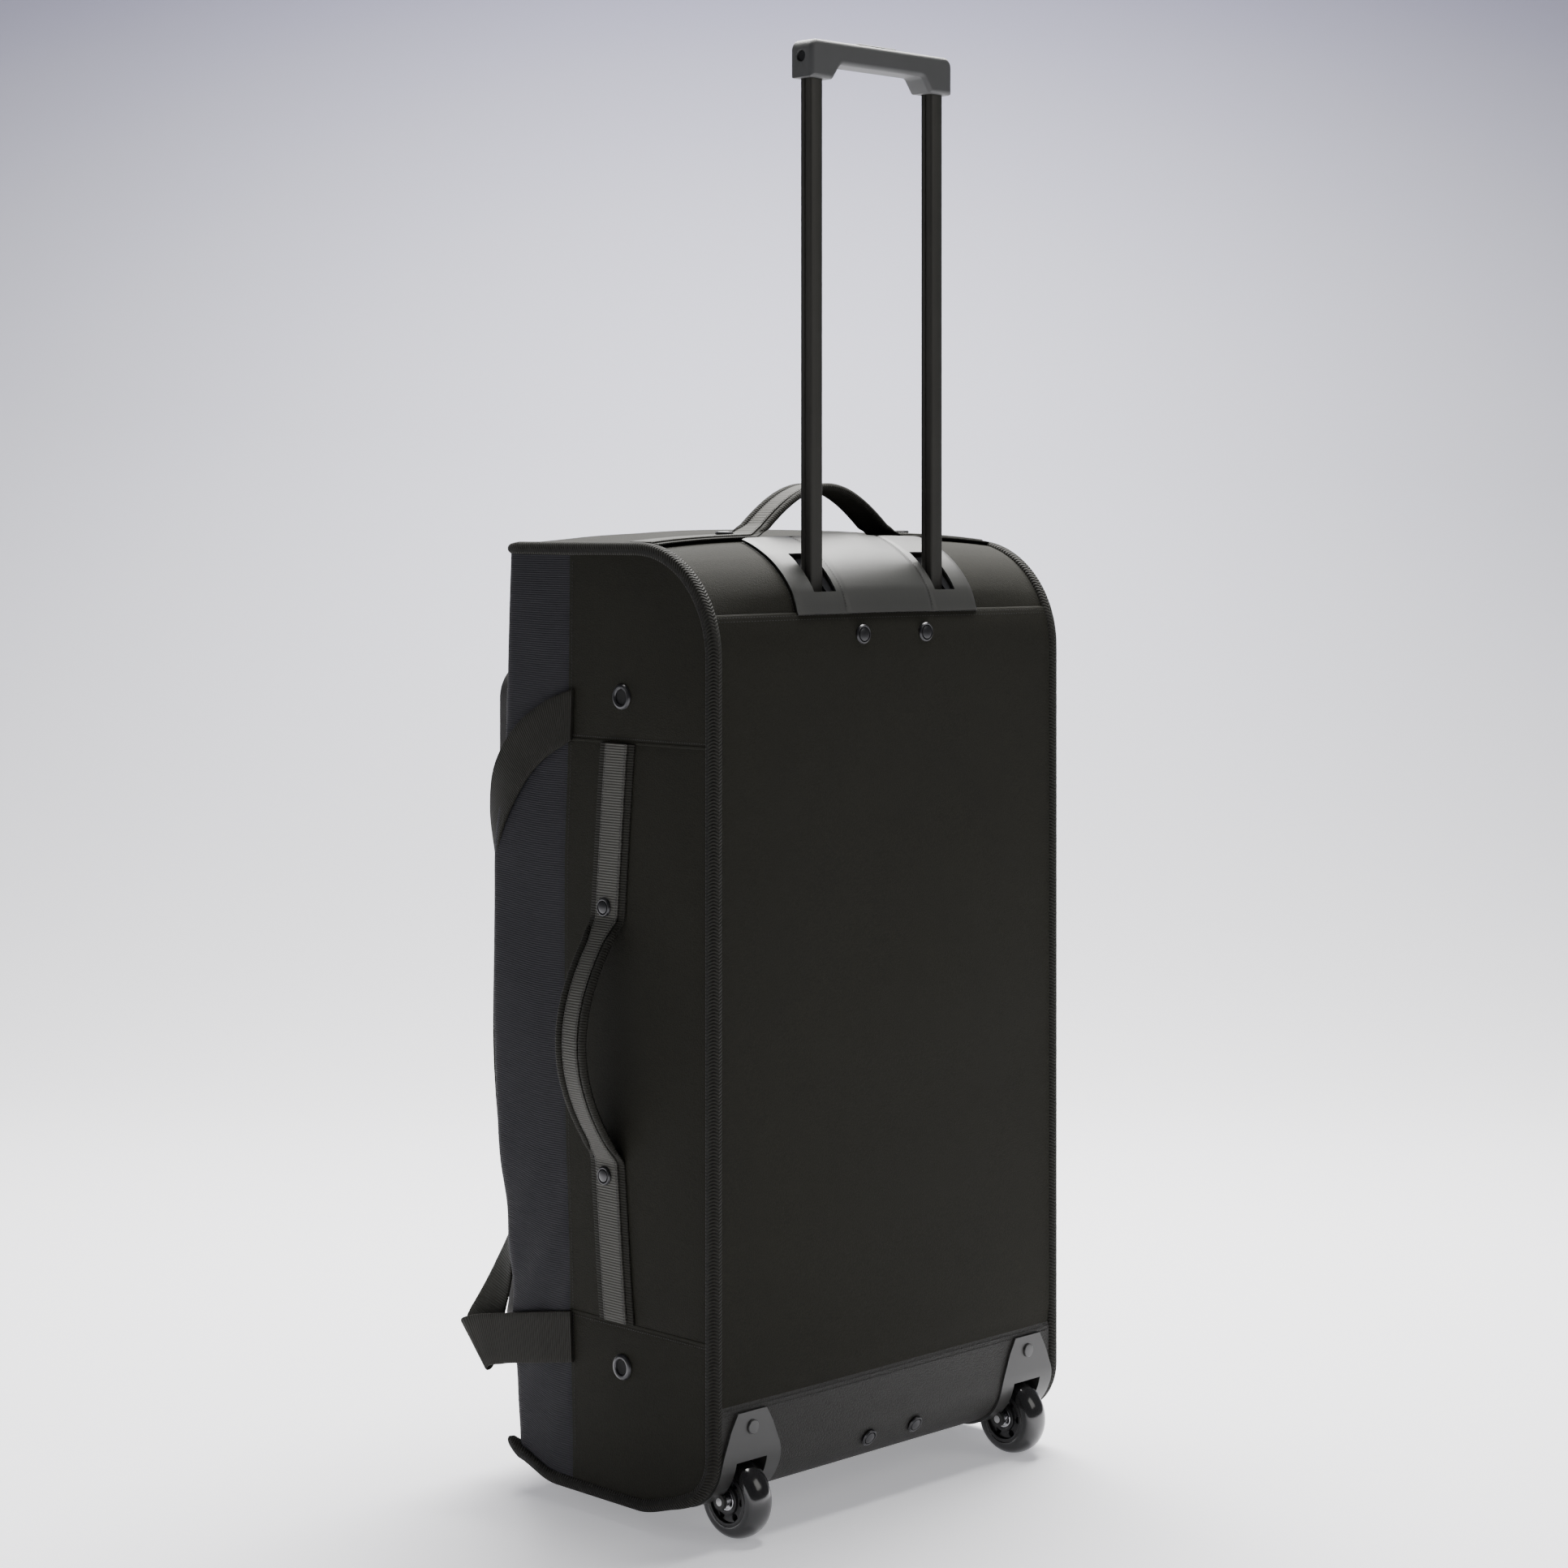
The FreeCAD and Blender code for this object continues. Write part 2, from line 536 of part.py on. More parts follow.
def trolley_slide():
    """What pulls out: the sliding tubes with their end plugs, the grip, its screws and the release."""
    tubes = []
    plugs = []
    screws = []
    for name, sign in SIDES:
        x = "%d * tube_x" % sign
        outward = x if sign > 0 else x + " - tube_wide"
        pipe = tube("slide_" + name, (x, "tube_y"), "tube_wide", "tube_deep", "tube_wall",
                    ("tube_low", "tube_top"))
        hole = bar("tube_hole_" + name, "X", (outward, "tube_y", "pin_z"), "pin_radius + 0.3", "tube_wide")
        tubes.append(cut("slide_cut_" + name, pipe, [hole]))
        plug = block("plug_block_" + name, (
            ("%s - tube_wide / 2 + tube_wall" % x, "%s + tube_wide / 2 - tube_wall" % x),
            ("tube_y - tube_deep / 2 + tube_wall", "tube_y + tube_deep / 2 - tube_wall"),
            ("tube_low - 3", "tube_low + 30")))
        bore = bar("plug_bore_" + name, "Z", (x, "tube_y", "tube_low + 4"), "rod_radius + 0.2", "30")
        cross = bar("plug_cross_" + name, "X",
                    (x + " - pin_travel - 1.5" if sign > 0 else x + " - tube_wide", "tube_y", "pin_z"),
                    "pin_radius + 0.1", "tube_wide + pin_travel + 1.5")
        plugs.append(cut("plug_cut_" + name, plug, [bore, cross]))
        pin_start = "%s + 0.5" % x if sign > 0 else "%s - tube_wide / 2 - 0.1" % x
        keep(bar("pin_" + name, "X", (pin_start, "tube_y", "pin_z"), "pin_radius", "tube_wide / 2 - 0.4"),
             "lock_pin_" + name)
        face = "%d * grip_long / 2" % sign
        screws.append(turned("screw_" + name, "X" if sign > 0 else "-X",
                             ("%s - %d * 8" % (face, sign), "tube_y", "reach_height - 13"),
                             [("0", "0"), ("6.5", "0"), ("6.5", "3.6"), ("4", "3.6"),
                              ("4", "1.5"), ("0", "1.5")]))
    keep(group("slides", tubes), "sliding_tubes")
    keep(group("plugs", plugs), "tube_plugs")
    keep(group("screws", screws), "grip_screws")

    half = "grip_long / 2"
    inner = "(grip_long / 2 - grip_foot)"
    arch = "(grip_long / 2 - grip_foot - 9)"
    grip = prism(
        "grip_shell", "XZ",
        [("-(%s)" % half, "foot_low"), ("-(%s)" % inner, "foot_low"), ("-(%s)" % arch, "bar_low"),
         (arch, "bar_low"), (inner, "foot_low"), (half, "foot_low"), (half, "reach_height"),
         ("-(%s)" % half, "reach_height")],
        ("tube_y - grip_deep / 2", "tube_y + grip_deep / 2"),
        [("8", [("-(%s)" % half, "reach_height"), (half, "reach_height")]),
         ("6", [("-(%s)" % arch, "bar_low"), (arch, "bar_low")])])
    ends = (number("tube_y - grip_deep / 2"), number("tube_y + grip_deep / 2"))
    soften(grip, "4",
           lambda e: e.BoundBox.YLength < 0.01 and min(abs(e.BoundBox.YMin - y) for y in ends) < 0.01)
    button_room = block("grip_mouth", (
        ("-(button_long / 2 + run_gap)", "button_long / 2 + run_gap"),
        ("tube_y - button_deep / 2 - run_gap", "tube_y + button_deep / 2 + run_gap"),
        ("bar_low + 3", "reach_height + 5")))
    tunnel = block("grip_tunnel", (("-(tube_x + 5)", "tube_x + 5"), ("tube_y - 4", "tube_y + 4"),
                                   ("bar_low + 3", "bar_low + 13")))
    hollows = [button_room, tunnel]
    for name, sign in SIDES:
        x = "%d * tube_x" % sign
        hollows.append(block("grip_socket_" + name, (
            ("%s - tube_wide / 2" % x, "%s + tube_wide / 2" % x),
            ("tube_y - tube_deep / 2", "tube_y + tube_deep / 2"), ("foot_low - 1", "tube_top"))))
        hollows.append(bar("grip_rod_way_" + name, "Z", (x, "tube_y", "tube_top - 1"),
                           "rod_radius + 0.5", "12"))
        start = "%s - 8" % half if sign > 0 else "-(%s) - 1" % half
        hollows.append(bar("grip_screw_bore_" + name, "X", (start, "tube_y", "reach_height - 13"), "1.5", "9"))
        start = "%s - 4" % half if sign > 0 else "-(%s) - 1" % half
        hollows.append(bar("grip_screw_seat_" + name, "X", (start, "tube_y", "reach_height - 13"), "4.5", "5"))
    keep(cut("grip_cut", grip, hollows), "grip")

    button = block("button_cap", (("-(button_long / 2)", "button_long / 2"),
                                  ("tube_y - button_deep / 2", "tube_y + button_deep / 2"),
                                  ("bar_low + 3 + button_travel + 5", "reach_height + button_proud")))
    rounded = doc.addObject("Part::Fillet", "button_round")
    rounded.Base = button
    doc.recompute()
    upper = number("reach_height + button_proud")
    rounded.Edges = [(i, 1.2, 1.2) for i, e in enumerate(button.Shape.Edges, 1)
                     if abs(e.BoundBox.ZMin - upper) < 0.01]
    keep(rounded, "release_button")
    cross = block("rod_cross", (("-(tube_x + 2)", "tube_x + 2"), ("tube_y - 2", "tube_y + 2"),
                                ("bar_low + 3 + button_travel", "bar_low + 3 + button_travel + 5")))
    rods = [bar("rod_" + name, "Z",
                ("%d * tube_x" % sign, "tube_y", "pin_z + pin_radius + button_travel + 1"),
                "rod_radius", "bar_low + 4 - pin_z - pin_radius")
            for name, sign in SIDES]
    keep(join("rods_joined", [cross, *rods]), "release_rods")


# ---- the wheels in their moulded housings ----
def wheel_housing(name, sign):
    """A shield of skin round the corner of the bag, with a slot, a wheel cup and two cheeks."""
    x = "%d * wheel_x" % sign
    strip = prism(
        "housing_strip_" + name, "YZ",
        [("back - housing_run", "base - housing_skin"), ("back + housing_skin", "base - housing_skin"),
         ("back + housing_skin", "housing_z"), ("back", "housing_z"), ("back", "base"),
         ("back - housing_run", "base")],
        ("%s - housing_wide / 2" % x, "%s + housing_wide / 2" % x),
        [("base_round + housing_skin", [("back + housing_skin", "base - housing_skin")]),
         ("base_round", [("back", "base")])])
    shield = prism(
        "housing_shield_" + name, "XZ",
        [("%s - housing_wide / 2" % x, "0"), ("%s + housing_wide / 2" % x, "0"),
         ("%s + housing_wide / 2" % x, "housing_z - 34"), ("%s + housing_top / 2 + 7" % x, "housing_z - 12"),
         ("%s + housing_top / 2" % x, "housing_z"), ("%s - housing_top / 2" % x, "housing_z"),
         ("%s - housing_top / 2 - 7" % x, "housing_z - 12"), ("%s - housing_wide / 2" % x, "housing_z - 34")],
        ("back - housing_run - 1", "back + housing_skin + 1"),
        [("shield_round", [("%s + housing_wide / 2" % x, "housing_z - 34"),
                           ("%s - housing_wide / 2" % x, "housing_z - 34")])])
    skin = doc.addObject("Part::MultiCommon", "housing_skin_" + name)
    skin.Shapes = [strip, shield]
    cheek = [("cup_front", "base - housing_skin"), ("back + housing_skin", "base - housing_skin"),
             ("back + housing_skin", "cheek_top"), ("back", "cheek_top"), ("back - 6", "cup_top"),
             ("cup_front", "cup_top")]
    walls = []
    bosses = []
    for end, near, far in (("inner", "-(cup_half + housing_wall)", "-(cup_half)"),
                           ("outer", "cup_half", "cup_half + housing_wall")):
        walls.append(prism("housing_cheek_%s_%s" % (end, name), "YZ", cheek,
                           ("%s + %s" % (x, near), "%s + %s" % (x, far)),
                           [("base_round + housing_skin", [("back + housing_skin", "base - housing_skin")]),
                            ("cup_round", [("cup_front", "cup_top")])]))
        bosses.append(bar("housing_boss_%s_%s" % (end, name), "X",
                          ("%s + %s" % (x, near), "wheel_y", "wheel_z"), "boss_radius", "housing_wall"))
    roof = prism(
        "housing_roof_" + name, "YZ",
        [("cup_front", "base - housing_skin"), ("cup_front", "cup_top"), ("back", "cup_top"),
         ("back", "cup_top - housing_wall"), ("cup_front + housing_wall", "cup_top - housing_wall"),
         ("cup_front + housing_wall", "base - housing_skin")],
        ("%s - cup_half" % x, "%s + cup_half" % x),
        [("cup_round", [("cup_front", "cup_top")]),
         ("cup_round - housing_wall", [("cup_front + housing_wall", "cup_top - housing_wall")])])
    solid = join("housing_joined_" + name, [skin, *walls, *bosses, roof])
    slot = block("housing_slot_" + name, (
        ("%s - cup_half" % x, "%s + cup_half" % x), ("cup_front + housing_wall", "back + 20"),
        ("-1", "wheel_z + wheel_radius + 1")))
    axle_way = bar("housing_axle_way_" + name, "X", ("%s - cup_half - 10" % x, "wheel_y", "wheel_z"),
                   "axle_radius", "slot_wide + 20")
    rivet_way = bar("housing_rivet_way_" + name, "Y", (x, "back - 5", "housing_z - housing_rivet_drop"),
                    "shank_radius", "20")
    keep(cut("housing_cut_" + name, solid, [slot, axle_way, rivet_way]), "wheel_housing_" + name)


def wheel(name, sign):
    """A moulded tyre on a spoked hub with a ball bearing pressed into each face."""
    x = "%d * wheel_x" % sign
    half = "wheel_wide / 2"
    centre = (x, "wheel_y", "wheel_z")
    tyre = turned("tyre_ring_" + name, "X", centre,
                  [("-(%s)" % half, "hub_radius"), (half, "hub_radius"), (half, "wheel_radius"),
                   ("-(%s)" % half, "wheel_radius")])
    rim = number("wheel_radius")
    keep(soften(tyre, "wheel_wide / 2 - 3.5",
                lambda e: e.Curve.TypeId == "Part::GeomCircle" and abs(e.Curve.Radius - rim) < 0.01),
         "tyre_" + name)
    hub = turned("hub_disc_" + name, "X", centre,
                 [("-(%s)" % half, "bearing_radius"), ("-(%s) + bearing_wide" % half, "bearing_radius"),
                  ("-(%s) + bearing_wide" % half, "axle_radius + 2.5"),
                  ("%s - bearing_wide" % half, "axle_radius + 2.5"),
                  ("%s - bearing_wide" % half, "bearing_radius"),
                  (half, "bearing_radius"), (half, "bearing_radius + 3"),
                  ("%s - 3" % half, "bearing_radius + 3"), ("%s - 3" % half, "hub_radius - 3"),
                  (half, "hub_radius - 3"), (half, "hub_radius"), ("-(%s)" % half, "hub_radius"),
                  ("-(%s)" % half, "hub_radius - 3"), ("-(%s) + 3" % half, "hub_radius - 3"),
                  ("-(%s) + 3" % half, "bearing_radius + 3"), ("-(%s)" % half, "bearing_radius + 3")])
    windows = []
    for step in range(SIZES["spoke_windows"]):
        ray = "cos(%d deg * 360 / spoke_windows)" % step, "sin(%d deg * 360 / spoke_windows)" % step
        windows.append(bar("hub_window_%s_%d" % (name, step), "X",
                           ("%s - wheel_wide" % x, "wheel_y + (hub_radius - 6) * %s" % ray[0],
                            "wheel_z + (hub_radius - 6) * %s" % ray[1]), "spoke_hole", "2 * wheel_wide"))
    keep(cut("hub_cut_" + name, hub, windows), "wheel_hub_" + name)
    races = [turned("race_%s_%s" % (end, name), "X", ("%s + %s" % (x, start), "wheel_y", "wheel_z"),
                    [("0", "axle_radius + axle_gap"), ("bearing_wide", "axle_radius + axle_gap"),
                     ("bearing_wide", "bearing_radius"), ("0", "bearing_radius")])
             for end, start in (("inner", "-(%s)" % half), ("outer", "%s - bearing_wide" % half))]
    keep(group("races_" + name, races), "wheel_bearings_" + name)


def wheels():
    """Both housings, both wheels, the axles pressed into the cheeks and the rivets."""
    axles = []
    for name, sign in SIDES:
        wheel_housing(name, sign)
        wheel(name, sign)
        axles.append(bar("axle_" + name, "X",
                         ("%d * wheel_x - cup_half - housing_wall" % sign, "wheel_y", "wheel_z"),
                         "axle_radius", "slot_wide + 2 * housing_wall"))
    keep(group("axle_pair", axles), "wheel_axles")
    keep(group("housing_rivet_pair", [
        turned("housing_rivet_" + name, "Y",
               ("%d * wheel_x" % sign, "back - 7", "housing_z - housing_rivet_drop"),
               [("0", "0"), ("7 + housing_skin + rivet_proud", "0"),
                ("7 + housing_skin + rivet_proud", "rivet_radius - 2.5"),
                ("7 + housing_skin", "rivet_radius - 1.5"), ("7 + housing_skin", "shank_radius"),
                ("0", "shank_radius")])
        for name, sign in SIDES]), "housing_rivets")


# ---- handles, carry straps, feet and small fittings ----
def arch(label, plane, foot, ends, span):
    """A padded webbing arch that stands on a face: its feet, its bends and its width."""
    low, high = ends
    outward = "-" if foot.startswith("-") else "+"
    rise = "%s %s arch_high" % (foot, outward)
    inner = "%s %s (arch_high - arch_wall)" % (foot, outward)
    points = [(foot, low), (rise, low + " + arch_lean"), (rise, high + " - arch_lean"), (foot, high),
              (foot, high + " - arch_foot"), (inner, high + " - arch_lean - 2"),
              (inner, low + " + arch_lean + 2"), (foot, low + " + arch_foot")]
    corners = [(v, u) for u, v in points] if plane == "XZ_up" else points
    bends = [corners[1], corners[2]]
    inside = [corners[5], corners[6]]
    return prism(label, "XZ", corners, span, [("arch_bend", bends), ("arch_bend - arch_wall", inside)])


def handles():
    """A side handle on each side and one on the top, each a free arch between two sewn-down bands."""
    bands = []
    y_span = ("handle_y - handle_wide / 2", "handle_y + handle_wide / 2")
    for name, sign in SIDES:
        foot = "side + webbing" if sign > 0 else "-(side + webbing)"
        loop = arch("side_arch_" + name, "XZ", foot, ("side_arch_low", "side_arch_top"),
                    ("handle_y - webbing_wide / 2 - arch_pad", "handle_y + webbing_wide / 2 + arch_pad"))
        keep(loop, "side_handle_" + name)
        for end, z_span in (("low", ("lower_seam", "side_arch_low + arch_foot")),
                            ("top", ("side_arch_top - arch_foot", "upper_seam"))):
            bands.append(block("side_band_%s_%s" % (end, name),
                               (across(sign, "side", "side + webbing"), y_span, z_span)))
    keep(group("side_bands", bands), "side_handle_bands")
    top_span = ("top_handle_y - handle_wide / 2", "top_handle_y + handle_wide / 2")
    keep(group("top_bands", [
        block("top_band_" + name, (across(sign, "top_arch_half - arch_foot", "side - binding_wide"), top_span,
                                   ("top", "top + webbing")))
        for name, sign in SIDES]), "top_handle_bands")
    loop = arch("top_arch", "XZ_up", "top + webbing", ("-(top_arch_half)", "top_arch_half"),
                ("top_handle_y - webbing_wide / 2 - arch_pad", "top_handle_y + webbing_wide / 2 + arch_pad"))
    keep(loop, "top_handle")

    studs = []
    cap = [("0", "0"), ("rivet_proud", "0"), ("rivet_proud", "rivet_radius - 2"), ("0", "rivet_radius - 0.5")]
    for name, sign in SIDES:
        for end, z in (("upper", "side_arch_top + side_stud_up"), ("lower", "side_arch_low - side_stud_down")):
            studs.append(turned("side_stud_%s_%s" % (end, name), "X" if sign > 0 else "-X",
                                ("%d * (side + webbing)" % sign, "handle_y", z), cap))
        studs.append(turned("top_stud_" + name, "Z", ("%d * (top_arch_half + top_stud_out)" % sign,
                                                      "top_handle_y", "top + webbing"), cap))
    keep(group("stud_set", studs), "handle_studs")


def strap_section(place, wide_dir, thick_dir):
    """A closed rectangle of webbing, square to the strap's run at a place."""
    half_wide = wide_dir.normalize() * (sheet.strap_wide / 2)
    half_thick = thick_dir.normalize() * (sheet.strap_thick / 2)
    corners = [place + half_wide + half_thick, place + half_wide - half_thick,
               place - half_wide - half_thick, place - half_wide + half_thick]
    return Part.makePolygon(corners + corners[:1])


def carry_strap(sign):
    """A loop of flat webbing: forward from the side seam, round the edge, down and back again."""
    x = number("strap_x")
    root = number("gusset")
    edge = number("front")
    high = number("upper_seam") + 19
    low = number("lower_seam") - 20
    up, out, ahead = V(0, 0, 1), V(sign, 0, 0), V(0, -1, 0)
    stations = [
        (V(sign * x, root, high), up, out),
        (V(sign * (x + 0.5), edge + 12, high - 12), V(0, -0.3, 0.95), out),
        (V(sign * (x - 1), edge - 10, high - 50), V(-sign * 0.25, -0.45, 0.85), V(sign, -0.5, 0)),
        (V(sign * (x - 16), edge - 14, high - 112), V(sign, 0.1, 0.1), ahead),
        (V(sign * (x - 18), edge - 10, (high + low) / 2), out, ahead),
        (V(sign * (x - 17), edge - 12, low + 118), V(sign, 0.1, -0.1), ahead),
        (V(sign * (x - 12), edge - 26, low + 62), V(sign, 0, -0.5), V(0.1 * sign, -1, 0.3)),
        (V(sign * (x + 2), edge - 44, low + 6), V(sign * 0.3, 0.25, -0.85), V(-sign * 0.3, -1, -0.4)),
        (V(sign * (x + 3), edge - 26, low - 16), up, out),
        (V(sign * x, root, low), up, out),
    ]
    wires = [strap_section(place, V(wide), V(thick)) for place, wide, thick in stations]
    spans = [Part.makeLoft([a, b], True, True) for a, b in zip(wires, wires[1:])]
    return spans[0].multiFuse(spans[1:]).removeSplitter()


def straps_and_feet():
    """The two carry straps, the feet, the eyelets and the rivets of the trolley."""
    for name, sign in SIDES:
        strap = doc.addObject("Part::Feature", "strap_" + name)
        strap.Shape = carry_strap(sign)
        keep(strap, "carry_strap_" + name)
    feet = [turned("foot_" + name, "Z", ("%d * foot_place" % sign, "back - foot_inset", "0"),
                   [("0", "0"), ("base", "0"), ("base", "foot_radius + 4"), ("base - 4", "foot_radius + 4"),
                    ("0", "foot_radius - 2")])
            for name, sign in SIDES]
    keep(group("foot_pair", feet), "stand_feet")
    rings = []
    ring = [("-(cloth + 1)", "eyelet_hole"), ("1.5", "eyelet_hole"), ("0.8", "eyelet_radius"),
            ("0", "eyelet_radius"), ("0", "eyelet_hole + 1"), ("-(cloth)", "eyelet_hole + 1"),
            ("-(cloth)", "eyelet_radius - 1"), ("-(cloth + 1)", "eyelet_radius - 1")]
    for name, sign in SIDES:
        for end, z in (("upper", "top - eyelet_drop"), ("lower", "base + eyelet_rise")):
            rings.append(turned("eyelet_%s_%s" % (end, name), "X" if sign > 0 else "-X",
                                ("%d * side" % sign, "back - eyelet_inset", z), ring))
    keep(group("eyelet_set", rings), "vent_eyelets")
    face = "snap_shank + board + cloth"
    cap = [("0", "0"), (face + " + rivet_proud", "0"), (face + " + rivet_proud", "rivet_radius - 2"),
           (face, "rivet_radius"), (face, "shank_radius"), ("0", "shank_radius")]
    snaps = [turned("seat_snap_" + name, "Y",
                    ("%d * snap_place" % sign, "board_face - snap_shank", "hem - snap_drop"), cap)
             for name, sign in SIDES]
    keep(group("snap_pair", snaps), "seat_snaps")
    face = "tube_inset + bridge_shank + 0.5"
    stem = [("0", "0"), (face + " + rivet_proud", "0"), (face + " + rivet_proud", "rivet_radius - 2"),
            (face, "rivet_radius"), (face, "shank_radius"), ("0", "shank_radius")]
    rivets = [turned("bridge_rivet_" + name, "Y",
                     ("%d * bridge_rivet_place" % sign, "tube_y - bridge_shank",
                      "base + bridge_rivet_rise"), stem)
              for name, sign in SIDES]
    keep(group("rivet_pair", rivets), "bridge_rivets")


sleeve()
sides()
front()
lid()
trolley_frame()
trolley_slide()
wheels()
handles()
straps_and_feet()
doc.recompute()

faults = [item.Name for item in doc.Objects if "Invalid" in item.State or "Error" in item.State]
for label, item in NODES.items():
    if item.Shape.isNull() or not item.Shape.isValid() or not item.Shape.Solids:
        faults.append(label)
if faults:
    raise SystemExit("faulty objects: " + ", ".join(faults))

os.makedirs("parts", exist_ok=True)
for label, item in NODES.items():
    item.Shape.exportStep("parts/%s.step" % label)
print(len(NODES), "nodes")
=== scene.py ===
import json
import math

import bmesh
import bpy
import numpy as np
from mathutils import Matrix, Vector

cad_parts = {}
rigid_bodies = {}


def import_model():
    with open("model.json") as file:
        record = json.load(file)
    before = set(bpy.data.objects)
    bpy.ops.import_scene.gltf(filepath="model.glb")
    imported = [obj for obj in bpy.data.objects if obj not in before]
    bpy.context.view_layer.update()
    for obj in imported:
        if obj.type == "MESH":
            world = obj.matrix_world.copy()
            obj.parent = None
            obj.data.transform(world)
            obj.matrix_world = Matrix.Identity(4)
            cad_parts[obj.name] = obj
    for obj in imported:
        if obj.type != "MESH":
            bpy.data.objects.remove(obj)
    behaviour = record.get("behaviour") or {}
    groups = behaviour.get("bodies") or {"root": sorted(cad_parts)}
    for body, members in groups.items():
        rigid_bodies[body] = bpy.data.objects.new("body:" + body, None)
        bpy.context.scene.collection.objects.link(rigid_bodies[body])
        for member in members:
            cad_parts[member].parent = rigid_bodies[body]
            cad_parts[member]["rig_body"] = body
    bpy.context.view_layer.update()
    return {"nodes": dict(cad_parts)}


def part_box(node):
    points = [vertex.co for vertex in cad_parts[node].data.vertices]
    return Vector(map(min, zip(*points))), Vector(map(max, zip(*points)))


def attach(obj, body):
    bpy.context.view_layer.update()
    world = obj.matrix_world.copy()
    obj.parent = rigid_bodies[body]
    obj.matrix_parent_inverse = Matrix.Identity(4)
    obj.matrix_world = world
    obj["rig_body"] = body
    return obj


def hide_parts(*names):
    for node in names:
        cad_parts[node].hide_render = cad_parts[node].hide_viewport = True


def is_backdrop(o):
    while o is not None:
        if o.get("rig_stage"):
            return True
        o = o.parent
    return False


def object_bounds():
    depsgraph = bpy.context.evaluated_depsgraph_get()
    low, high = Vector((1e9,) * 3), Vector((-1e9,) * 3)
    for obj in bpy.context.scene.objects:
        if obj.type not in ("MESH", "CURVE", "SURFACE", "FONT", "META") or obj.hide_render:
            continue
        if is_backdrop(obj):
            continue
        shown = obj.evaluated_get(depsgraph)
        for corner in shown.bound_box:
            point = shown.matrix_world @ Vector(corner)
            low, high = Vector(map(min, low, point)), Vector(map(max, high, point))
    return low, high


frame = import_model()
SIDES = ((1, "right"), (-1, "left"))
MM = 0.001
CLOTH_THICK = 2.4 * MM


# ---- Camera, light and room ----
# A long lens at the height of the bag's top looks level at the back and the right side.
# A wide soft light hangs overhead, a second stands to the camera's right, and the room is pale; its backdrop
# glows with painted light and is painted darker high up.
VIEW_TURN = math.radians(135.05)
camera = bpy.data.objects.new("camera", bpy.data.cameras.new("camera"))
bpy.context.scene.collection.objects.link(camera)
camera.location = (1.8524, 1.8753, 0.7683)
camera.rotation_euler = (math.radians(90), 0, VIEW_TURN)
camera.data.sensor_width = 36
camera.data.lens = 73.98
camera.data.shift_y = -0.1683
camera.data.clip_start = 0.05
bpy.context.scene.camera = camera


class Field:
    """A value in a shader, so that a pattern is written as a sum."""

    def __init__(self, tree, socket):
        self.tree = tree
        self.socket = socket

    def node(self, kind, inputs, output=0, **settings):
        """A new node of this kind with its inputs set or linked, as the value it gives."""
        made = self.tree.nodes.new(kind)
        for key, value in settings.items():
            setattr(made, key, value)
        for key, value in inputs.items():
            if isinstance(value, Field):
                self.tree.links.new(value.socket, made.inputs[key])
            else:
                made.inputs[key].default_value = value
        return Field(self.tree, made.outputs[output])

    def math(self, operation, other=0.0):
        return self.node("ShaderNodeMath", {0: self, 1: other}, operation=operation)

    def __add__(self, other):
        return self.math("ADD", other)

    def __sub__(self, other):
        return self.math("SUBTRACT", other)

    def __mul__(self, other):
        return self.math("MULTIPLY", other)

    def wave(self, pitch):
        """Minus one to one and back, once for each pitch of length."""
        return (self * (2 * math.pi / pitch)).math("SINE")

    def limit(self):
        return self.math("MAXIMUM", 0.0).math("MINIMUM", 1.0)


def finish(name, colour, roughness, pattern=None, metallic=0.0, coat=0.0, sheen=0.0, shine=0.5, glow=0.0):
    """A material. The pattern gives a tint for the colour and a height in millimetres for the relief."""
    made = bpy.data.materials.new(name)
    made.use_nodes = True
    tree = made.node_tree
    shader = next(n for n in tree.nodes if n.type == "BSDF_PRINCIPLED")
    shader.inputs["Base Color"].default_value = (*colour, 1)
    shader.inputs["Roughness"].default_value = roughness
    shader.inputs["Metallic"].default_value = metallic
    shader.inputs["Coat Weight"].default_value = coat
    shader.inputs["Specular IOR Level"].default_value = shine
    shader.inputs["Coat Roughness"].default_value = 0.12
    shader.inputs["Sheen Weight"].default_value = sheen
    shader.inputs["Sheen Roughness"].default_value = 0.5
    made.diffuse_color = (*colour, 1)
    if pattern is None:
        pattern = plain
    source = tree.nodes.new("ShaderNodeTexCoord")
    place = Field(tree, source.outputs["Object"])
    u, v = (place.node("ShaderNodeSeparateXYZ", {0: Field(tree, source.outputs["UV"])}, axis)
            for axis in (0, 1))
    tint, height = pattern(place, u, v)
    shade = place.node("ShaderNodeVectorMath", {0: colour, 1: tint}, operation="MULTIPLY")
    tree.links.new(shade.socket, shader.inputs["Base Color"])
    if glow:
        shader.inputs["Emission Strength"].default_value = glow
        tree.links.new(shade.socket, shader.inputs["Emission Color"])
    bump = place.node("ShaderNodeBump", {"Height": height, "Distance": MM})
    tree.links.new(bump.socket, shader.inputs["Normal"])
    return made


def grain(place, size, detail=2.0):
    """A cloudy value round a half, with clouds about this size in metres."""
    return place.node("ShaderNodeTexNoise", {"Vector": place, "Scale": 1 / size, "Detail": detail})


def plain(place, u, v):
    """A moulded or metal face: a faint unevenness of tint and a very fine grain."""
    return grain(place, 0.03) * 0.2 + 0.9, grain(place, 0.0009) * 0.03


def lamp(name, place, aim, size, power, colour):
    """A soft square light at a place that points at another."""
    made = bpy.data.objects.new(name, bpy.data.lights.new(name, "AREA"))
    bpy.context.scene.collection.objects.link(made)
    made.location = place
    way = np.array(place) - np.array(aim)
    made.rotation_euler = (math.atan2(math.hypot(way[0], way[1]), way[2]), 0,
                           math.atan2(way[1], way[0]) + math.pi / 2)
    made.data.size = size
    made.data.energy = power
    made.data.color = colour


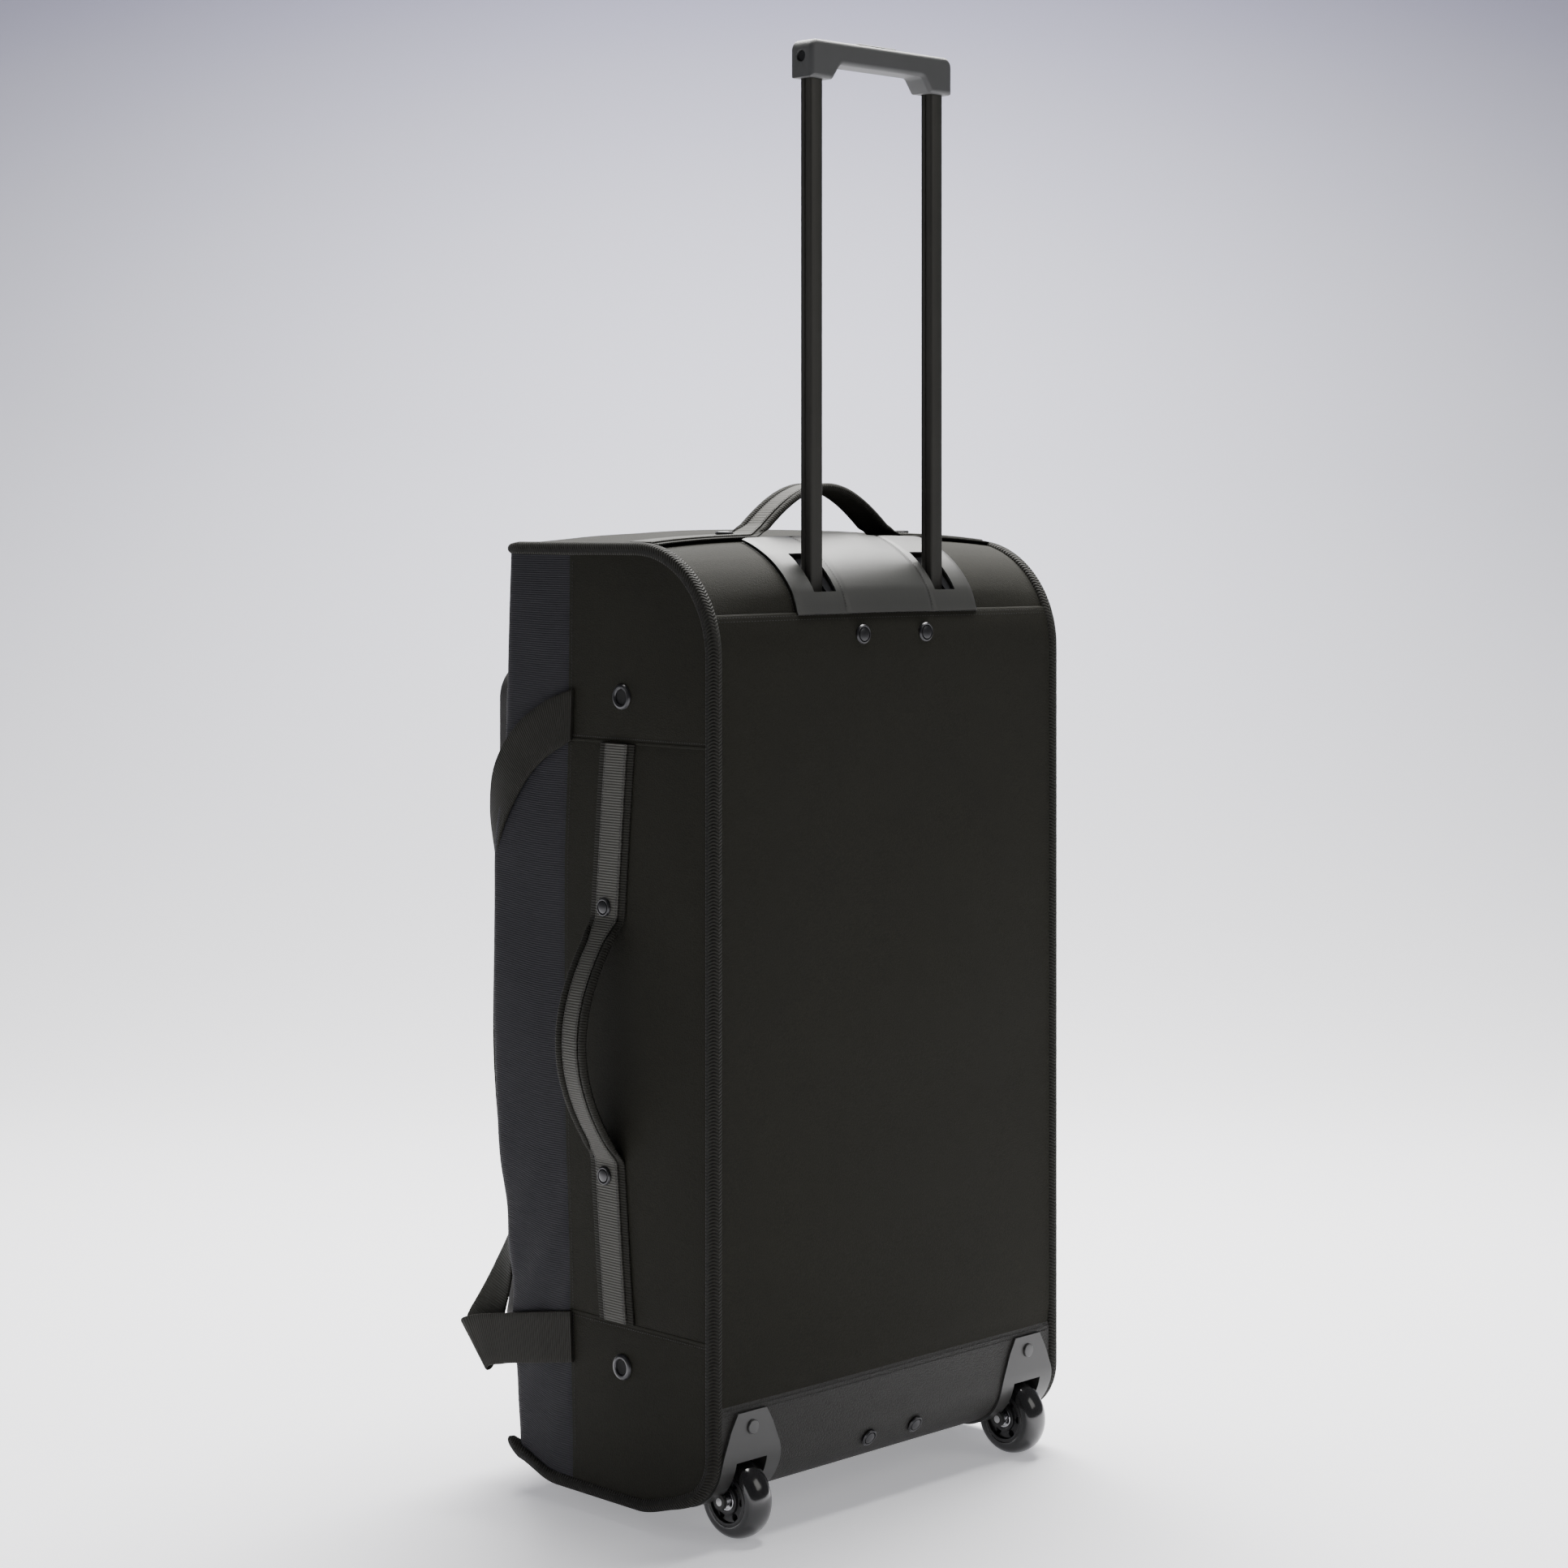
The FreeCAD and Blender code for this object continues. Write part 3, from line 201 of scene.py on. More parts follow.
def make(name, points, faces, material, body="root", uv=None, angle=38):
    """A mesh on a body from points and lists of faces, turned so that its faces look outward."""
    points = np.asarray(points, float).reshape(-1, 3)
    lists = [np.asarray(f, int) for f in (faces if isinstance(faces, list) else [faces])]
    volume = 0.0
    for f in lists:
        for k in range(1, f.shape[1] - 1):
            a, b, c = points[f[:, 0]], points[f[:, k]], points[f[:, k + 1]]
            volume += np.einsum("ij,ij->", a, np.cross(b, c))
    if volume < 0:
        lists = [f[:, ::-1] for f in lists]
    mesh = bpy.data.meshes.new(name)
    mesh.from_pydata(points.tolist(), [], [row for f in lists for row in f.tolist()])
    if uv is not None:
        layer = mesh.uv_layers.new(name="metres")
        corner = np.empty(len(mesh.loops), int)
        mesh.loops.foreach_get("vertex_index", corner)
        layer.data.foreach_set("uv", np.asarray(uv, float).reshape(-1, 2)[corner].ravel())
    mesh.materials.append(material)
    mesh.shade_smooth()
    mesh.set_sharp_from_angle(angle=math.radians(angle))
    made = bpy.data.objects.new(name, mesh)
    bpy.context.scene.collection.objects.link(made)
    if body is None:
        made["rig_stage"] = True
    else:
        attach(made, body)
    return made


def unit(vectors):
    """Each vector at a length of one."""
    return vectors / np.maximum(np.linalg.norm(vectors, axis=-1, keepdims=True), 1e-12)


def travel(line):
    """The distance covered along a line of points, from zero."""
    return np.concatenate([[0.0], np.cumsum(np.linalg.norm(np.diff(line, axis=0), axis=1))])


def placed(line, far, at):
    """The points of a line, whose points lie so far along it, at these distances."""
    return np.stack([np.interp(at, far, line[:, i]) for i in range(line.shape[1])], 1)


def rounded(corners, radii, step=0.0015, count=0):
    """A flat line through corners with an arc at each inner one, as evenly spaced points."""
    corners = np.asarray(corners, float)
    points = [corners[:1]]
    for before, corner, after, radius in zip(corners, corners[1:], corners[2:], radii):
        a, b = unit(before - corner), unit(after - corner)
        half = math.acos(np.clip(a @ b, -1, 1)) / 2
        centre = corner + unit(a + b) * radius / math.sin(half)
        start = corner + a * radius / math.tan(half) - centre
        stop = corner + b * radius / math.tan(half) - centre
        sweep_angle = math.pi - 2 * half
        t = np.linspace(0, 1, 24)[:, None]
        arc = (np.sin((1 - t) * sweep_angle) * start + np.sin(t * sweep_angle) * stop) / math.sin(sweep_angle)
        points.append(centre + arc)
    points = np.concatenate([*points, corners[-1:]])
    far = travel(points)
    even = np.linspace(0, far[-1], count or int(far[-1] / step) + 2)
    return placed(points, far, even)


def slab(grid, behind):
    """Points and faces of a closed body between two grids of one size that share their outline's shape."""
    count = grid.shape[0] * grid.shape[1]
    ids = np.arange(count).reshape(grid.shape[:2])
    face = np.stack([ids[:-1, :-1], ids[1:, :-1], ids[1:, 1:], ids[:-1, 1:]], -1).reshape(-1, 4)
    edge = np.concatenate([ids[:, 0], ids[-1, 1:], ids[::-1, -1][1:], ids[0, ::-1][1:]])
    rim = np.stack([edge[:-1], edge[:-1] + count, edge[1:] + count, edge[1:]], -1)
    points = np.concatenate([grid.reshape(-1, 3), behind.reshape(-1, 3)])
    return points, np.concatenate([face[:, ::-1], face + count, rim[:, ::-1]])


def painted_wall_falloff(place, u, v):
    """A wall with painted shade: lavender grey high up, where the light falls off, and nearly white at the
    floor.
    """
    height = place.node("ShaderNodeSeparateXYZ", {0: place}, 2)
    part = (height * 0.42).limit()
    mix = place.node("ShaderNodeMix", {"Factor": part, "A": WALL_PAINTED_LIT, "B": WALL_PAINTED_SHADE}, 2, data_type="RGBA")
    return mix, part * 0.0


# Painted light on the backdrop: its colour darkens upward as painted shade, and it glows with that colour
# though it is no lamp.
WALL_PAINTED_LIT, WALL_PAINTED_SHADE = (1.05, 1.05, 1.09, 1), (0.10, 0.095, 0.17, 1)
room_painted_glow = finish("room painted glow", (0.95, 0.95, 0.95), 0.9, painted_wall_falloff, shine=0.0, glow=0.34)
wall_line = rounded([(3.5, 0.0), (-5.2, 0.0), (-5.2, 4.6)], [3.6], 0.08)
view_out = np.array([math.sin(VIEW_TURN), -math.cos(VIEW_TURN), 0.0])
view_side = np.array([-view_out[1], view_out[0], 0.0])
sheet = (wall_line[:, None, :1] * view_out + wall_line[:, None, 1:] * np.array([0, 0, 1.0])
         + np.linspace(-5, 5, 9)[None, :, None] * view_side)
make("backdrop", *slab(sheet, sheet - np.array([0, 0, 0.02])), room_painted_glow, None)
lamp("overhead", (-0.7, -0.5, 2.4), (0, 0, 0.6), 1.7, 225, (1, 0.99, 0.97))
lamp("right_soft", (-1.3, 2.9, 2.2), (0, 0, 0.7), 1.6, 16, (1, 0.99, 0.95))
lamp("left_soft", (2.9, -0.9, 2.3), (0, 0, 0.7), 1.6, 6, (1, 0.99, 0.97))
lamp("wall_wash", (-2.2, -2.2, 2.6), (-4.2, -4.2, 1.0), 1.8, 110, (0.96, 0.96, 1))
world = bpy.data.worlds.new("room")
world.use_nodes = True
world.node_tree.nodes["Background"].inputs[0].default_value = (0.76, 0.76, 0.82, 1)
world.node_tree.nodes["Background"].inputs[1].default_value = 0.16
bpy.context.scene.world = world


# ---- The sleeve: top, back, guard and bottom ----
# One band of coated cloth goes over the top, down the back and under the base. It is sewn of a top
# panel, a back panel whose folded hem lies over the top panel, and a grained guard with two wheel cups.
def left_of(line):
    """The direction square to a flat line on its left at each point."""
    ahead = unit(np.gradient(line, axis=0))
    return np.stack([-ahead[:, 1], ahead[:, 0]], 1)


def span(node):
    """Lowest and highest corner of a CAD piece as two arrays."""
    low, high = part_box(node)
    return np.array(low), np.array(high)


def dress(material, *nodes):
    """CAD pieces that are shown as they are, in this material."""
    for node in nodes:
        data = frame["nodes"][node].data
        data.materials.clear()
        data.materials.append(material)


def marks(low, high, step, *extra):
    """Places from low to high about a step apart, with the extra places among them."""
    count = max(2, int(round((high - low) / step)) + 1)
    return np.unique(np.round(np.concatenate([np.linspace(low, high, count), extra]), 7))


def shell(name, grid, thick, material, hole=None, wrap=False):
    """A closed sheet: a grid of points, and a copy of it moved in along its normals by the thickness.

    hole marks the cells that are left out. With wrap, the last row joins the first.
    """
    rows, cols = grid.shape[:2]
    if wrap:
        along = np.roll(grid, -1, 0) - np.roll(grid, 1, 0)
    else:
        along = np.gradient(grid, axis=0)
    normal = unit(np.cross(along, np.gradient(grid, axis=1)))
    inner = grid - normal * thick
    ids = np.arange(rows * cols).reshape(rows, cols)
    if wrap:
        ids = np.concatenate([ids, ids[:1]])
    keep = np.ones((ids.shape[0] - 1, cols - 1), bool) if hole is None else ~hole
    total = rows * cols
    face = np.stack([ids[:-1, :-1], ids[1:, :-1], ids[1:, 1:], ids[:-1, 1:]], -1)[keep]
    kept = np.pad(keep, 1)
    if wrap:
        kept[0], kept[-1] = kept[-2], kept[1]
    lower, upper = kept[:-1, 1:-1], kept[1:, 1:-1]
    if wrap:
        lower, upper = lower[:-1], upper[:-1]
    first, second = ids[:lower.shape[0], :-1], ids[:lower.shape[0], 1:]
    left, right = kept[1:-1, :-1], kept[1:-1, 1:]
    start, stop = ids[:-1], ids[1:]
    rims = []
    for a, b, where in ((first, second, upper & ~lower), (second, first, lower & ~upper),
                        (stop, start, right & ~left), (start, stop, left & ~right)):
        a, b = a[where], b[where]
        rims.append(np.stack([a, b, b + total, a + total], -1))
    faces = np.concatenate([face, face[:, ::-1] + total, *rims])
    flat = np.stack([
        np.concatenate([[0], np.cumsum(np.linalg.norm(np.diff(grid, axis=0), axis=2).mean(1))])[:, None]
        + np.zeros((1, cols)),
        np.concatenate([[0], np.cumsum(np.linalg.norm(np.diff(grid, axis=1), axis=2).mean(0))])[None, :]
        + np.zeros((rows, 1))], -1)
    used = np.unique(faces)
    number = np.zeros(2 * total, int)
    number[used] = np.arange(len(used))
    points = np.concatenate([grid.reshape(-1, 3), inner.reshape(-1, 3)])[used]
    uv = np.concatenate([flat.reshape(-1, 2), flat.reshape(-1, 2)])[used]
    return make(name, points, number[faces], material, uv=uv)


LOZENGE = np.array([(-1, 0, 0), (-0.55, 1, 0), (-0.55, 0, 1), (-0.55, -1, 0), (-0.55, 0, -1),
                    (0.55, 1, 0), (0.55, 0, 1), (0.55, -1, 0), (0.55, 0, -1), (1, 0, 0)], float) / 2
LOZENGE_FACES = np.array([(0, 2, 1, 1), (0, 3, 2, 2), (0, 4, 3, 3), (0, 1, 4, 4),
                          (1, 2, 6, 5), (2, 3, 7, 6), (3, 4, 8, 7), (4, 1, 5, 8),
                          (9, 5, 6, 6), (9, 6, 7, 7), (9, 7, 8, 8), (9, 8, 5, 5)])


def grains(name, lines, outs, pitch, size, material, body="root"):
    """Stitches or teeth: small lozenges (length, width, height) at a pitch along lines of points."""
    places, axes = [], []
    for line, out in zip(lines, outs):
        far = travel(line)
        at = np.arange(pitch / 2, far[-1], pitch)
        ahead = unit(placed(line, far, at + pitch / 4) - placed(line, far, at - pitch / 4))
        beside = unit(np.cross(placed(np.broadcast_to(np.asarray(out, float), line.shape), far, at), ahead))
        up = np.cross(ahead, beside)
        places.append(placed(line, far, at))
        axes.append(np.stack([ahead * size[0], beside * size[1], up * size[2]], 1))
    places, axes = np.concatenate(places), np.concatenate(axes)
    points = places[:, None] + np.einsum("kc,ncd->nkd", LOZENGE, axes)
    tri = LOZENGE_FACES[[0, 1, 2, 3, 8, 9, 10, 11], :3]
    quad = LOZENGE_FACES[4:8]
    step = (np.arange(len(places)) * len(LOZENGE))[:, None, None]
    return make(name, points, [(tri[None] + step).reshape(-1, 3), (quad[None] + step).reshape(-1, 4)],
                material, body, angle=80)


def woven(place, u, v):
    """Plain weave seen from afar: fine grain, soft clouds and a slight nap."""
    fine = grain(place, 0.0011, 3.0)
    return fine * 1.1 + grain(place, 0.06) * 0.24 + 0.33, fine * 0.4


def thread(place, u, v):
    """Sewing thread: nearly even."""
    return grain(place, 0.004) * 0.3 + 0.85, grain(place, 0.0008) * 0.05


cloth = finish("black woven cloth", (0.0108, 0.0105, 0.0070), 0.8, woven, sheen=0.01, shine=0.15)
dark_thread = finish("black thread", (0.011, 0.0105, 0.0095), 0.7, thread)


TOP_ROUND, BASE_ROUND, CROWN = 84 * MM, 42 * MM, 4 * MM
top_low, top_high = span("top_panel")
guard_low, guard_high = span("lower_guard")
front, back = top_low[1], span("back_panel")[1][1]
hem, top = top_low[2], top_high[2] - CROWN
base, guard_top = guard_low[2], guard_high[2]
wide = top_high[0]
tube_low, tube_high = span("sliding_tubes")
tube_y = (tube_low[1] + tube_high[1]) / 2
TUBE_WIDE, TUBE_DEEP, GROOVE = 13.5 * MM, 12 * MM, 0.8 * MM
tube_x = tube_high[0] - TUBE_WIDE / 2
course = rounded([(front, top), (back, top), (back, base), (front, base)], [TOP_ROUND, BASE_ROUND], 0.0005)
course_run = travel(course)
course_out = left_of(course)
run_of_top = back - TOP_ROUND - front


def run_down(z):
    """How far along the sleeve the point on the rounded corner or the back with this Z is."""
    part = np.clip((z - (top - TOP_ROUND)) / TOP_ROUND, 0, 1)
    return run_of_top + TOP_ROUND * np.arccos(part) + np.maximum(top - TOP_ROUND - z, 0)


run_of_hem = run_down(hem)
run_of_guard = run_down(guard_top)
run_of_corner = run_of_guard + guard_top - base - BASE_ROUND
run_of_base = run_of_corner + BASE_ROUND * math.pi / 2


def run_at(y):
    """How far along the sleeve the point on the top with this Y is."""
    over = np.clip((y - (back - TOP_ROUND)) / TOP_ROUND, 0, 1)
    return np.minimum(y, back - TOP_ROUND) - front + TOP_ROUND * np.arcsin(over)


def plump(t, power=0.5):
    """Zero at the two ends of zero to one, and one in the middle, like stuffed cloth."""
    return np.sin(np.clip(t, 0, 1) * math.pi) ** power


def ripple(a, b, seed, size=0.12):
    """Soft uneven waves between minus one and one over two lengths in metres."""
    total = np.zeros(np.broadcast(a, b).shape)
    for i in range(5):
        turn = seed * 1.7 + i * 2.4
        total = total + np.sin((a * math.cos(turn) + b * math.sin(turn)) * 2 * math.pi
                               / (size * (1 + 0.37 * i)) + seed * 3 + i * i)
    return total / 5


def sleeve(x, run, lift=0.0):
    """A point of the sleeve: across at x and so far along its course, raised by lift.

    The cloth swells in the middle of each panel, dips where the handle band crosses the top, and
    is flat at the two side seams, at the hem and at the base.
    """
    x, run, lift = np.broadcast_arrays(x, run, lift)
    swell = np.interp(run, [0, 0.02, 0.06, 0.11, 0.131, 0.17, 0.19, 0.235, run_of_hem, run_of_hem + 0.05,
                            (run_of_hem + run_of_guard) / 2, run_of_guard, run_of_corner, run_of_base],
                      [0.007, 0.010, 0.0125, 0.0115, 0.0075, 0.0065, 0.005, 0.004, 0.0015, 0.0022,
                       0.003, 0.001, 0.0015, 0.0])
    swell = swell * (1 - np.abs(x / wide) ** 3.0) + 0.0007 * ripple(x, run, 1.0) * (1 - np.abs(x / wide) ** 6)
    y = np.interp(run, course_run, course[:, 0])
    z = np.interp(run, course_run, course[:, 1])
    out_y = np.interp(run, course_run, course_out[:, 0])
    out_z = np.interp(run, course_run, course_out[:, 1])
    return np.stack([x, y + out_y * (swell + lift), z + out_z * (swell + lift)], -1)


def sleeve_out(run):
    """The outward direction of the sleeve at places along its course."""
    return np.stack([0 * run, np.interp(run, course_run, course_out[:, 0]),
                     np.interp(run, course_run, course_out[:, 1])], -1)


def middles(values):
    """The places halfway between each two."""
    return (values[1:] + values[:-1]) / 2


WINDOW_HALF = 12 * MM
window_from, window_to = run_at(tube_y - 18.5 * MM), run_at(tube_y + 8.5 * MM)
window_edges = [s * (tube_x + w) for s in (-1, 1) for w in (-WINDOW_HALF, WINDOW_HALF)]


def windows(x, run):
    """Which cells of a grid over x and run lie in the two windows for the trolley tubes."""
    x, run = np.meshgrid(middles(x), middles(run), indexing="ij")
    return (np.abs(np.abs(x) - tube_x) < WINDOW_HALF) & (run > window_from) & (run < window_to)


x = marks(-wide, wide, 0.006, *window_edges)
run = marks(0, run_of_hem + 0.012, 0.004, window_from, window_to)
top_panel = shell("top_panel_cloth", sleeve(x[:, None], run[None]), CLOTH_THICK, cloth, windows(x, run))
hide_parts("top_panel")

run = marks(run_of_hem, run_of_guard + 0.01, 0.006, run_of_hem + 0.0008, run_of_hem + 0.002)
edge_lift = 1.6 * MM * np.minimum(1, (run - run_of_hem + 0.0003) / 0.0015) * np.clip(
    (run_of_guard + 0.004 - run) / 0.02, 0, 1)
back_panel = shell("back_panel_cloth", sleeve(x[:, None], run[None], edge_lift[None]), CLOTH_THICK, cloth)
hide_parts("back_panel")


def pebbled(place, u, v):
    """Grained coated cloth: small rounded pebbles, with painted shade darkening the grooves between them."""
    cell = place.node("ShaderNodeTexVoronoi", {"Vector": place, "Scale": 900.0}, feature="SMOOTH_F1")
    # The tint darkens with the depth of each groove: painted shade.
    return cell * -0.5 + grain(place, 0.03) * 0.2 + 1.1, cell * -0.5


guard_skin = finish("grained guard", (0.0200, 0.0195, 0.0175), 0.6, pebbled, shine=0.25)
wheel_low, wheel_high = span("tyre_right")
wheel_x, wheel_y, wheel_z = (wheel_low + wheel_high) / 2
run = marks(run_of_guard - 0.0005, run_of_base + 0.048, 0.004)
cup_half = 18.5 * MM
cell_x, cell_run = np.meshgrid(middles(x), middles(run), indexing="ij")
cup = (np.abs(np.abs(cell_x) - wheel_x) < cup_half) & (cell_run > run_of_guard + 0.035)
edge_lift = 1.1 * MM * np.minimum(1, (run - run[0] + 0.0003) / 0.0015)
guard = shell("lower_guard_skin", sleeve(x[:, None], run[None], edge_lift[None]), CLOTH_THICK,
              guard_skin, cup)
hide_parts("lower_guard")


def sag(y):
    """How far the bottom of the bag hangs down at this Y: most in the middle, nothing at the ends."""
    part = np.minimum((y - front - 0.008) / 0.05, (back - 0.024 - y) / 0.06)
    lift = np.clip((front + 0.014 - y) / 0.014, 0, 1)
    return 12 * MM * np.sin(np.clip(part, 0, 1) * math.pi / 2) ** 2 - 6 * MM * lift


FOOT_X, FOOT_Y = 120 * MM, span("stand_feet")[0][1] + 19 * MM
x_base = marks(-wide, wide, 0.008)
y = marks(front + 2 * MM, back - BASE_ROUND - 0.004, 0.008)
grid = np.stack(np.broadcast_arrays(x_base[:, None], y[None], base), -1).copy()
near_foot = np.exp(-((np.abs(grid[..., 0]) - FOOT_X) ** 2 + (grid[..., 1] - FOOT_Y) ** 2) / 0.03 ** 2)
grid[..., 2] += 0.6 * MM - sag(grid[..., 1]) * np.abs(grid[..., 0] / wide) ** 4 * (1 - near_foot)
bottom = shell("bottom_cloth", grid, -CLOTH_THICK, cloth)
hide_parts("bottom_panel")

hem_x = np.linspace(-wide + 6 * MM, wide - 6 * MM, 130)
rows, outs = [], []
for at in (run_of_hem + 0.0032, run_of_hem + 0.0062, run_of_guard + 0.003, run_of_guard + 0.0065):
    rows.append(sleeve(hem_x, at, 1.45 * MM))
    outs.append(sleeve_out(np.full(len(hem_x), at)))
grains("sleeve_stitches", rows, outs, 3.1 * MM, (2.2 * MM, 0.9 * MM, 0.7 * MM), dark_thread)
dress(finish("stiff board", (0.03, 0.03, 0.03), 0.7), "back_board")


# ---- The sides ----
# Each side is a flat black cloth of three panels, sewn to a ribbed navy gusset that turns the front
# edge. A herringbone tape binds the seam between the side and the sleeve.
def each(vector, line):
    """The same direction at every point of a line."""
    return np.tile(np.array(vector, float), (len(line), 1))


def band_profile(wide, thick, count=10):
    """Corners of a flat strip with round edges, as (across, through) pairs."""
    half = wide / 2 - thick / 2
    across = np.linspace(-half, half, count)
    bend = np.linspace(-math.pi / 2, math.pi / 2, 5)[1:-1]
    top = np.stack([across, np.full(count, thick / 2)], 1)
    right = np.stack([half + np.cos(bend[::-1]) * thick / 2, np.sin(bend[::-1]) * thick / 2], 1)
    left = np.stack([-half - np.cos(bend) * thick / 2, np.sin(bend) * thick / 2], 1)
    loop = np.concatenate([top, right, top[::-1] * [1, -1], left])
    return np.roll(loop, 2, axis=0)


def oval_profile(half_wide, half_thick):
    """Corners of an oval cord, as (across, through) pairs."""
    angle = np.linspace(0, 2 * math.pi, 10, endpoint=False)
    return np.stack([np.cos(angle) * half_wide, np.sin(angle) * half_thick], 1)


def tube(name, rings, material, body, closed):
    """A closed body through rings of points that all have the same even count."""
    count, size = rings.shape[:2]
    ids = np.arange(count * size).reshape(count, size)
    if closed:
        ids = np.concatenate([ids, ids[:1]])
    turn = np.roll(ids, -1, axis=1)
    faces = [np.stack([ids[:-1], ids[1:], turn[1:], turn[:-1]], -1).reshape(-1, 4)]
    if not closed:
        a = np.arange(size // 2 - 1)
        cap = np.stack([a, a + 1, size - 2 - a, size - 1 - a], -1)
        faces += [cap, cap[:, ::-1] + (count - 1) * size]
    along = travel(rings.mean(1))[:, None] + np.zeros((1, size))
    around = np.linspace(0, np.linalg.norm(rings[0] - np.roll(rings[0], 1, 0), axis=1).sum(), size)
    uv = np.stack([along, around[None, :] + np.zeros((count, 1))], -1)
    return make(name, rings, np.concatenate(faces), material, body, uv)


def sweep(name, line, across, through, profile, material, body="root", scale=None, closed=False):
    """A body with one profile along a line, from the directions across and through at each point."""
    shape = profile[None] if scale is None else profile[None] * np.asarray(scale)[:, None]
    rings = line[:, None] + across[:, None] * shape[..., :1] + through[:, None] * shape[..., 1:]
    return tube(name, rings, material, body, closed)


side_low, side_high = span("side_panel_right")
side_x, gusset_y = side_high[0], side_low[1]
lower_seam, upper_seam = side_low[2], side_high[2]
EDGE_ROUND = 12 * MM
BULGE_Z = np.linspace(0, 0.8, 161)
BULGE_LEVELS = [0.05, 0.09, 0.15, 0.194, 0.214, 0.248, 0.278, 0.332, 0.375, 0.507, 0.56, 0.6, 0.66, 0.74]
BULGE_SHARES = [-0.4, -0.25, 0, 0.14, 0.27, 0.5, 0.73, 0.92, 1, 1, 0.6, 0.35, 0.25, 0.1]
bulge = np.interp(BULGE_Z, BULGE_LEVELS, BULGE_SHARES)
bell = np.hanning(11) / np.hanning(11).sum()
bulge = np.convolve(np.pad(bulge, 5, mode="edge"), bell, mode="valid")


def fullness(z):
    """How far the stuffed front stands out at this height, as a share of the most."""
    return np.interp(z, BULGE_Z, bulge)


def low_edge(y):
    """The lower outline of the side at this Y, with its sag."""
    over = np.clip((y - (back - BASE_ROUND)) / BASE_ROUND, 0, 1)
    return base + BASE_ROUND - BASE_ROUND * np.sqrt(1 - over ** 2) - sag(y)


def high_edge(y):
    """The upper outline of the side at this Y."""
    over = np.clip((y - (back - TOP_ROUND)) / TOP_ROUND, 0, 1)
    return top - TOP_ROUND + TOP_ROUND * np.sqrt(1 - over ** 2)


def side_swell(y, z):
    """How far the side stands out: a soft cushion in each panel and a slight unevenness."""
    across = plump((y - gusset_y) / (back - gusset_y), 0.6)
    panel = np.where(z > upper_seam, (z - upper_seam) / (top - upper_seam),
                     np.where(z < lower_seam, (z - base) / (lower_seam - base),
                              (z - lower_seam) / (upper_seam - lower_seam)))
    high = np.where(z > upper_seam, 2.0, np.where(z < lower_seam, 1.6, 3.0)) * MM
    return high * across * plump(panel, 0.45) + 0.8 * MM * ripple(y, z, 4.0, 0.16) * across


def side_at(sign, y, z, lift=0.0):
    """A point of the side cloth at y and z, raised by lift, and drawn forward where the front is full."""
    y, z = np.broadcast_arrays(y, z)
    drawn = 7 * MM * fullness(z) * np.clip(1 - (y - gusset_y) / 0.09, 0, 1) ** 2
    return np.stack([sign * (side_x + side_swell(y, z) + lift), y - drawn, z], -1)


arc = np.sin(np.linspace(0, math.pi / 2, 18))
side_y = np.unique(np.round(np.concatenate([
    marks(gusset_y, back - TOP_ROUND, 0.005), back - TOP_ROUND + TOP_ROUND * arc * 0.9999,
    back - BASE_ROUND + BASE_ROUND * arc * 0.9999]), 6))
part_of_way = np.linspace(0, 1, 30)
for sign, name in SIDES:
    low, high = low_edge(side_y), high_edge(side_y)
    for part, start, stop in (("middle", 0 * low + lower_seam, 0 * low + upper_seam),
                              ("upper", 0 * low + upper_seam, high), ("lower", low, 0 * low + lower_seam)):
        steps = np.linspace(0, 1, 90) if part == "middle" else part_of_way
        z = start[:, None] + (stop - start)[:, None] * steps[None]
        panel = shell("side_%s_cloth_%s" % (part, name), side_at(sign, side_y[:, None], z),
                      sign * CLOTH_THICK, cloth)
        if part == "middle":
            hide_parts("side_panel_" + name)
        if part == "upper":
            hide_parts("side_ends_" + name)

rows, outs = [], []
for sign, name in SIDES:
    y = np.linspace(gusset_y + 0.002, back - 0.008, 60)
    for z in (upper_seam + 0.003, lower_seam - 0.003):
        rows.append(side_at(sign, y, z, 0.15 * MM))
        outs.append((sign, 0, 0))
    z = np.linspace(base + 0.02, top - 0.012, 200)
    rows.append(side_at(sign, gusset_y + 0.0035, z, 0.15 * MM))
    outs.append((sign, 0, 0))
grains("side_stitches", rows, outs, 2.6 * MM, (1.8 * MM, 0.7 * MM, 0.5 * MM), dark_thread)
for sign, name in SIDES:
    y = np.linspace(gusset_y, back - 0.006, 60)
    for part, z in (("upper", upper_seam), ("lower", lower_seam)):
        line = side_at(sign, y, z, 0.0)
        sweep("side_welt_%s_%s" % (part, name), line, each((0, 0, 1), line), each((sign, 0, 0), line),
              band_profile(2.6 * MM, 1.3 * MM, 4), cloth)


def ribbed(place, u, v):
    """Cloth with fine upright ribs, a soft mottle and a fine grain."""
    rib = v.wave(1.75 * MM)
    fine = grain(place, 0.0013, 3.0)
    return rib * 0.12 + fine * 0.5 + grain(place, 0.02) * 0.25 + 0.62, rib * 0.1 + fine * 0.2


navy = finish("navy ribbed cloth", (0.0150, 0.0148, 0.0180), 0.75, ribbed, sheen=0.02, shine=0.2)
turn_line = rounded([(side_x, gusset_y), (side_x, front), (0.156, front)], [EDGE_ROUND], 0.0005)
turn_run = travel(turn_line)
turn_out = left_of(turn_line)


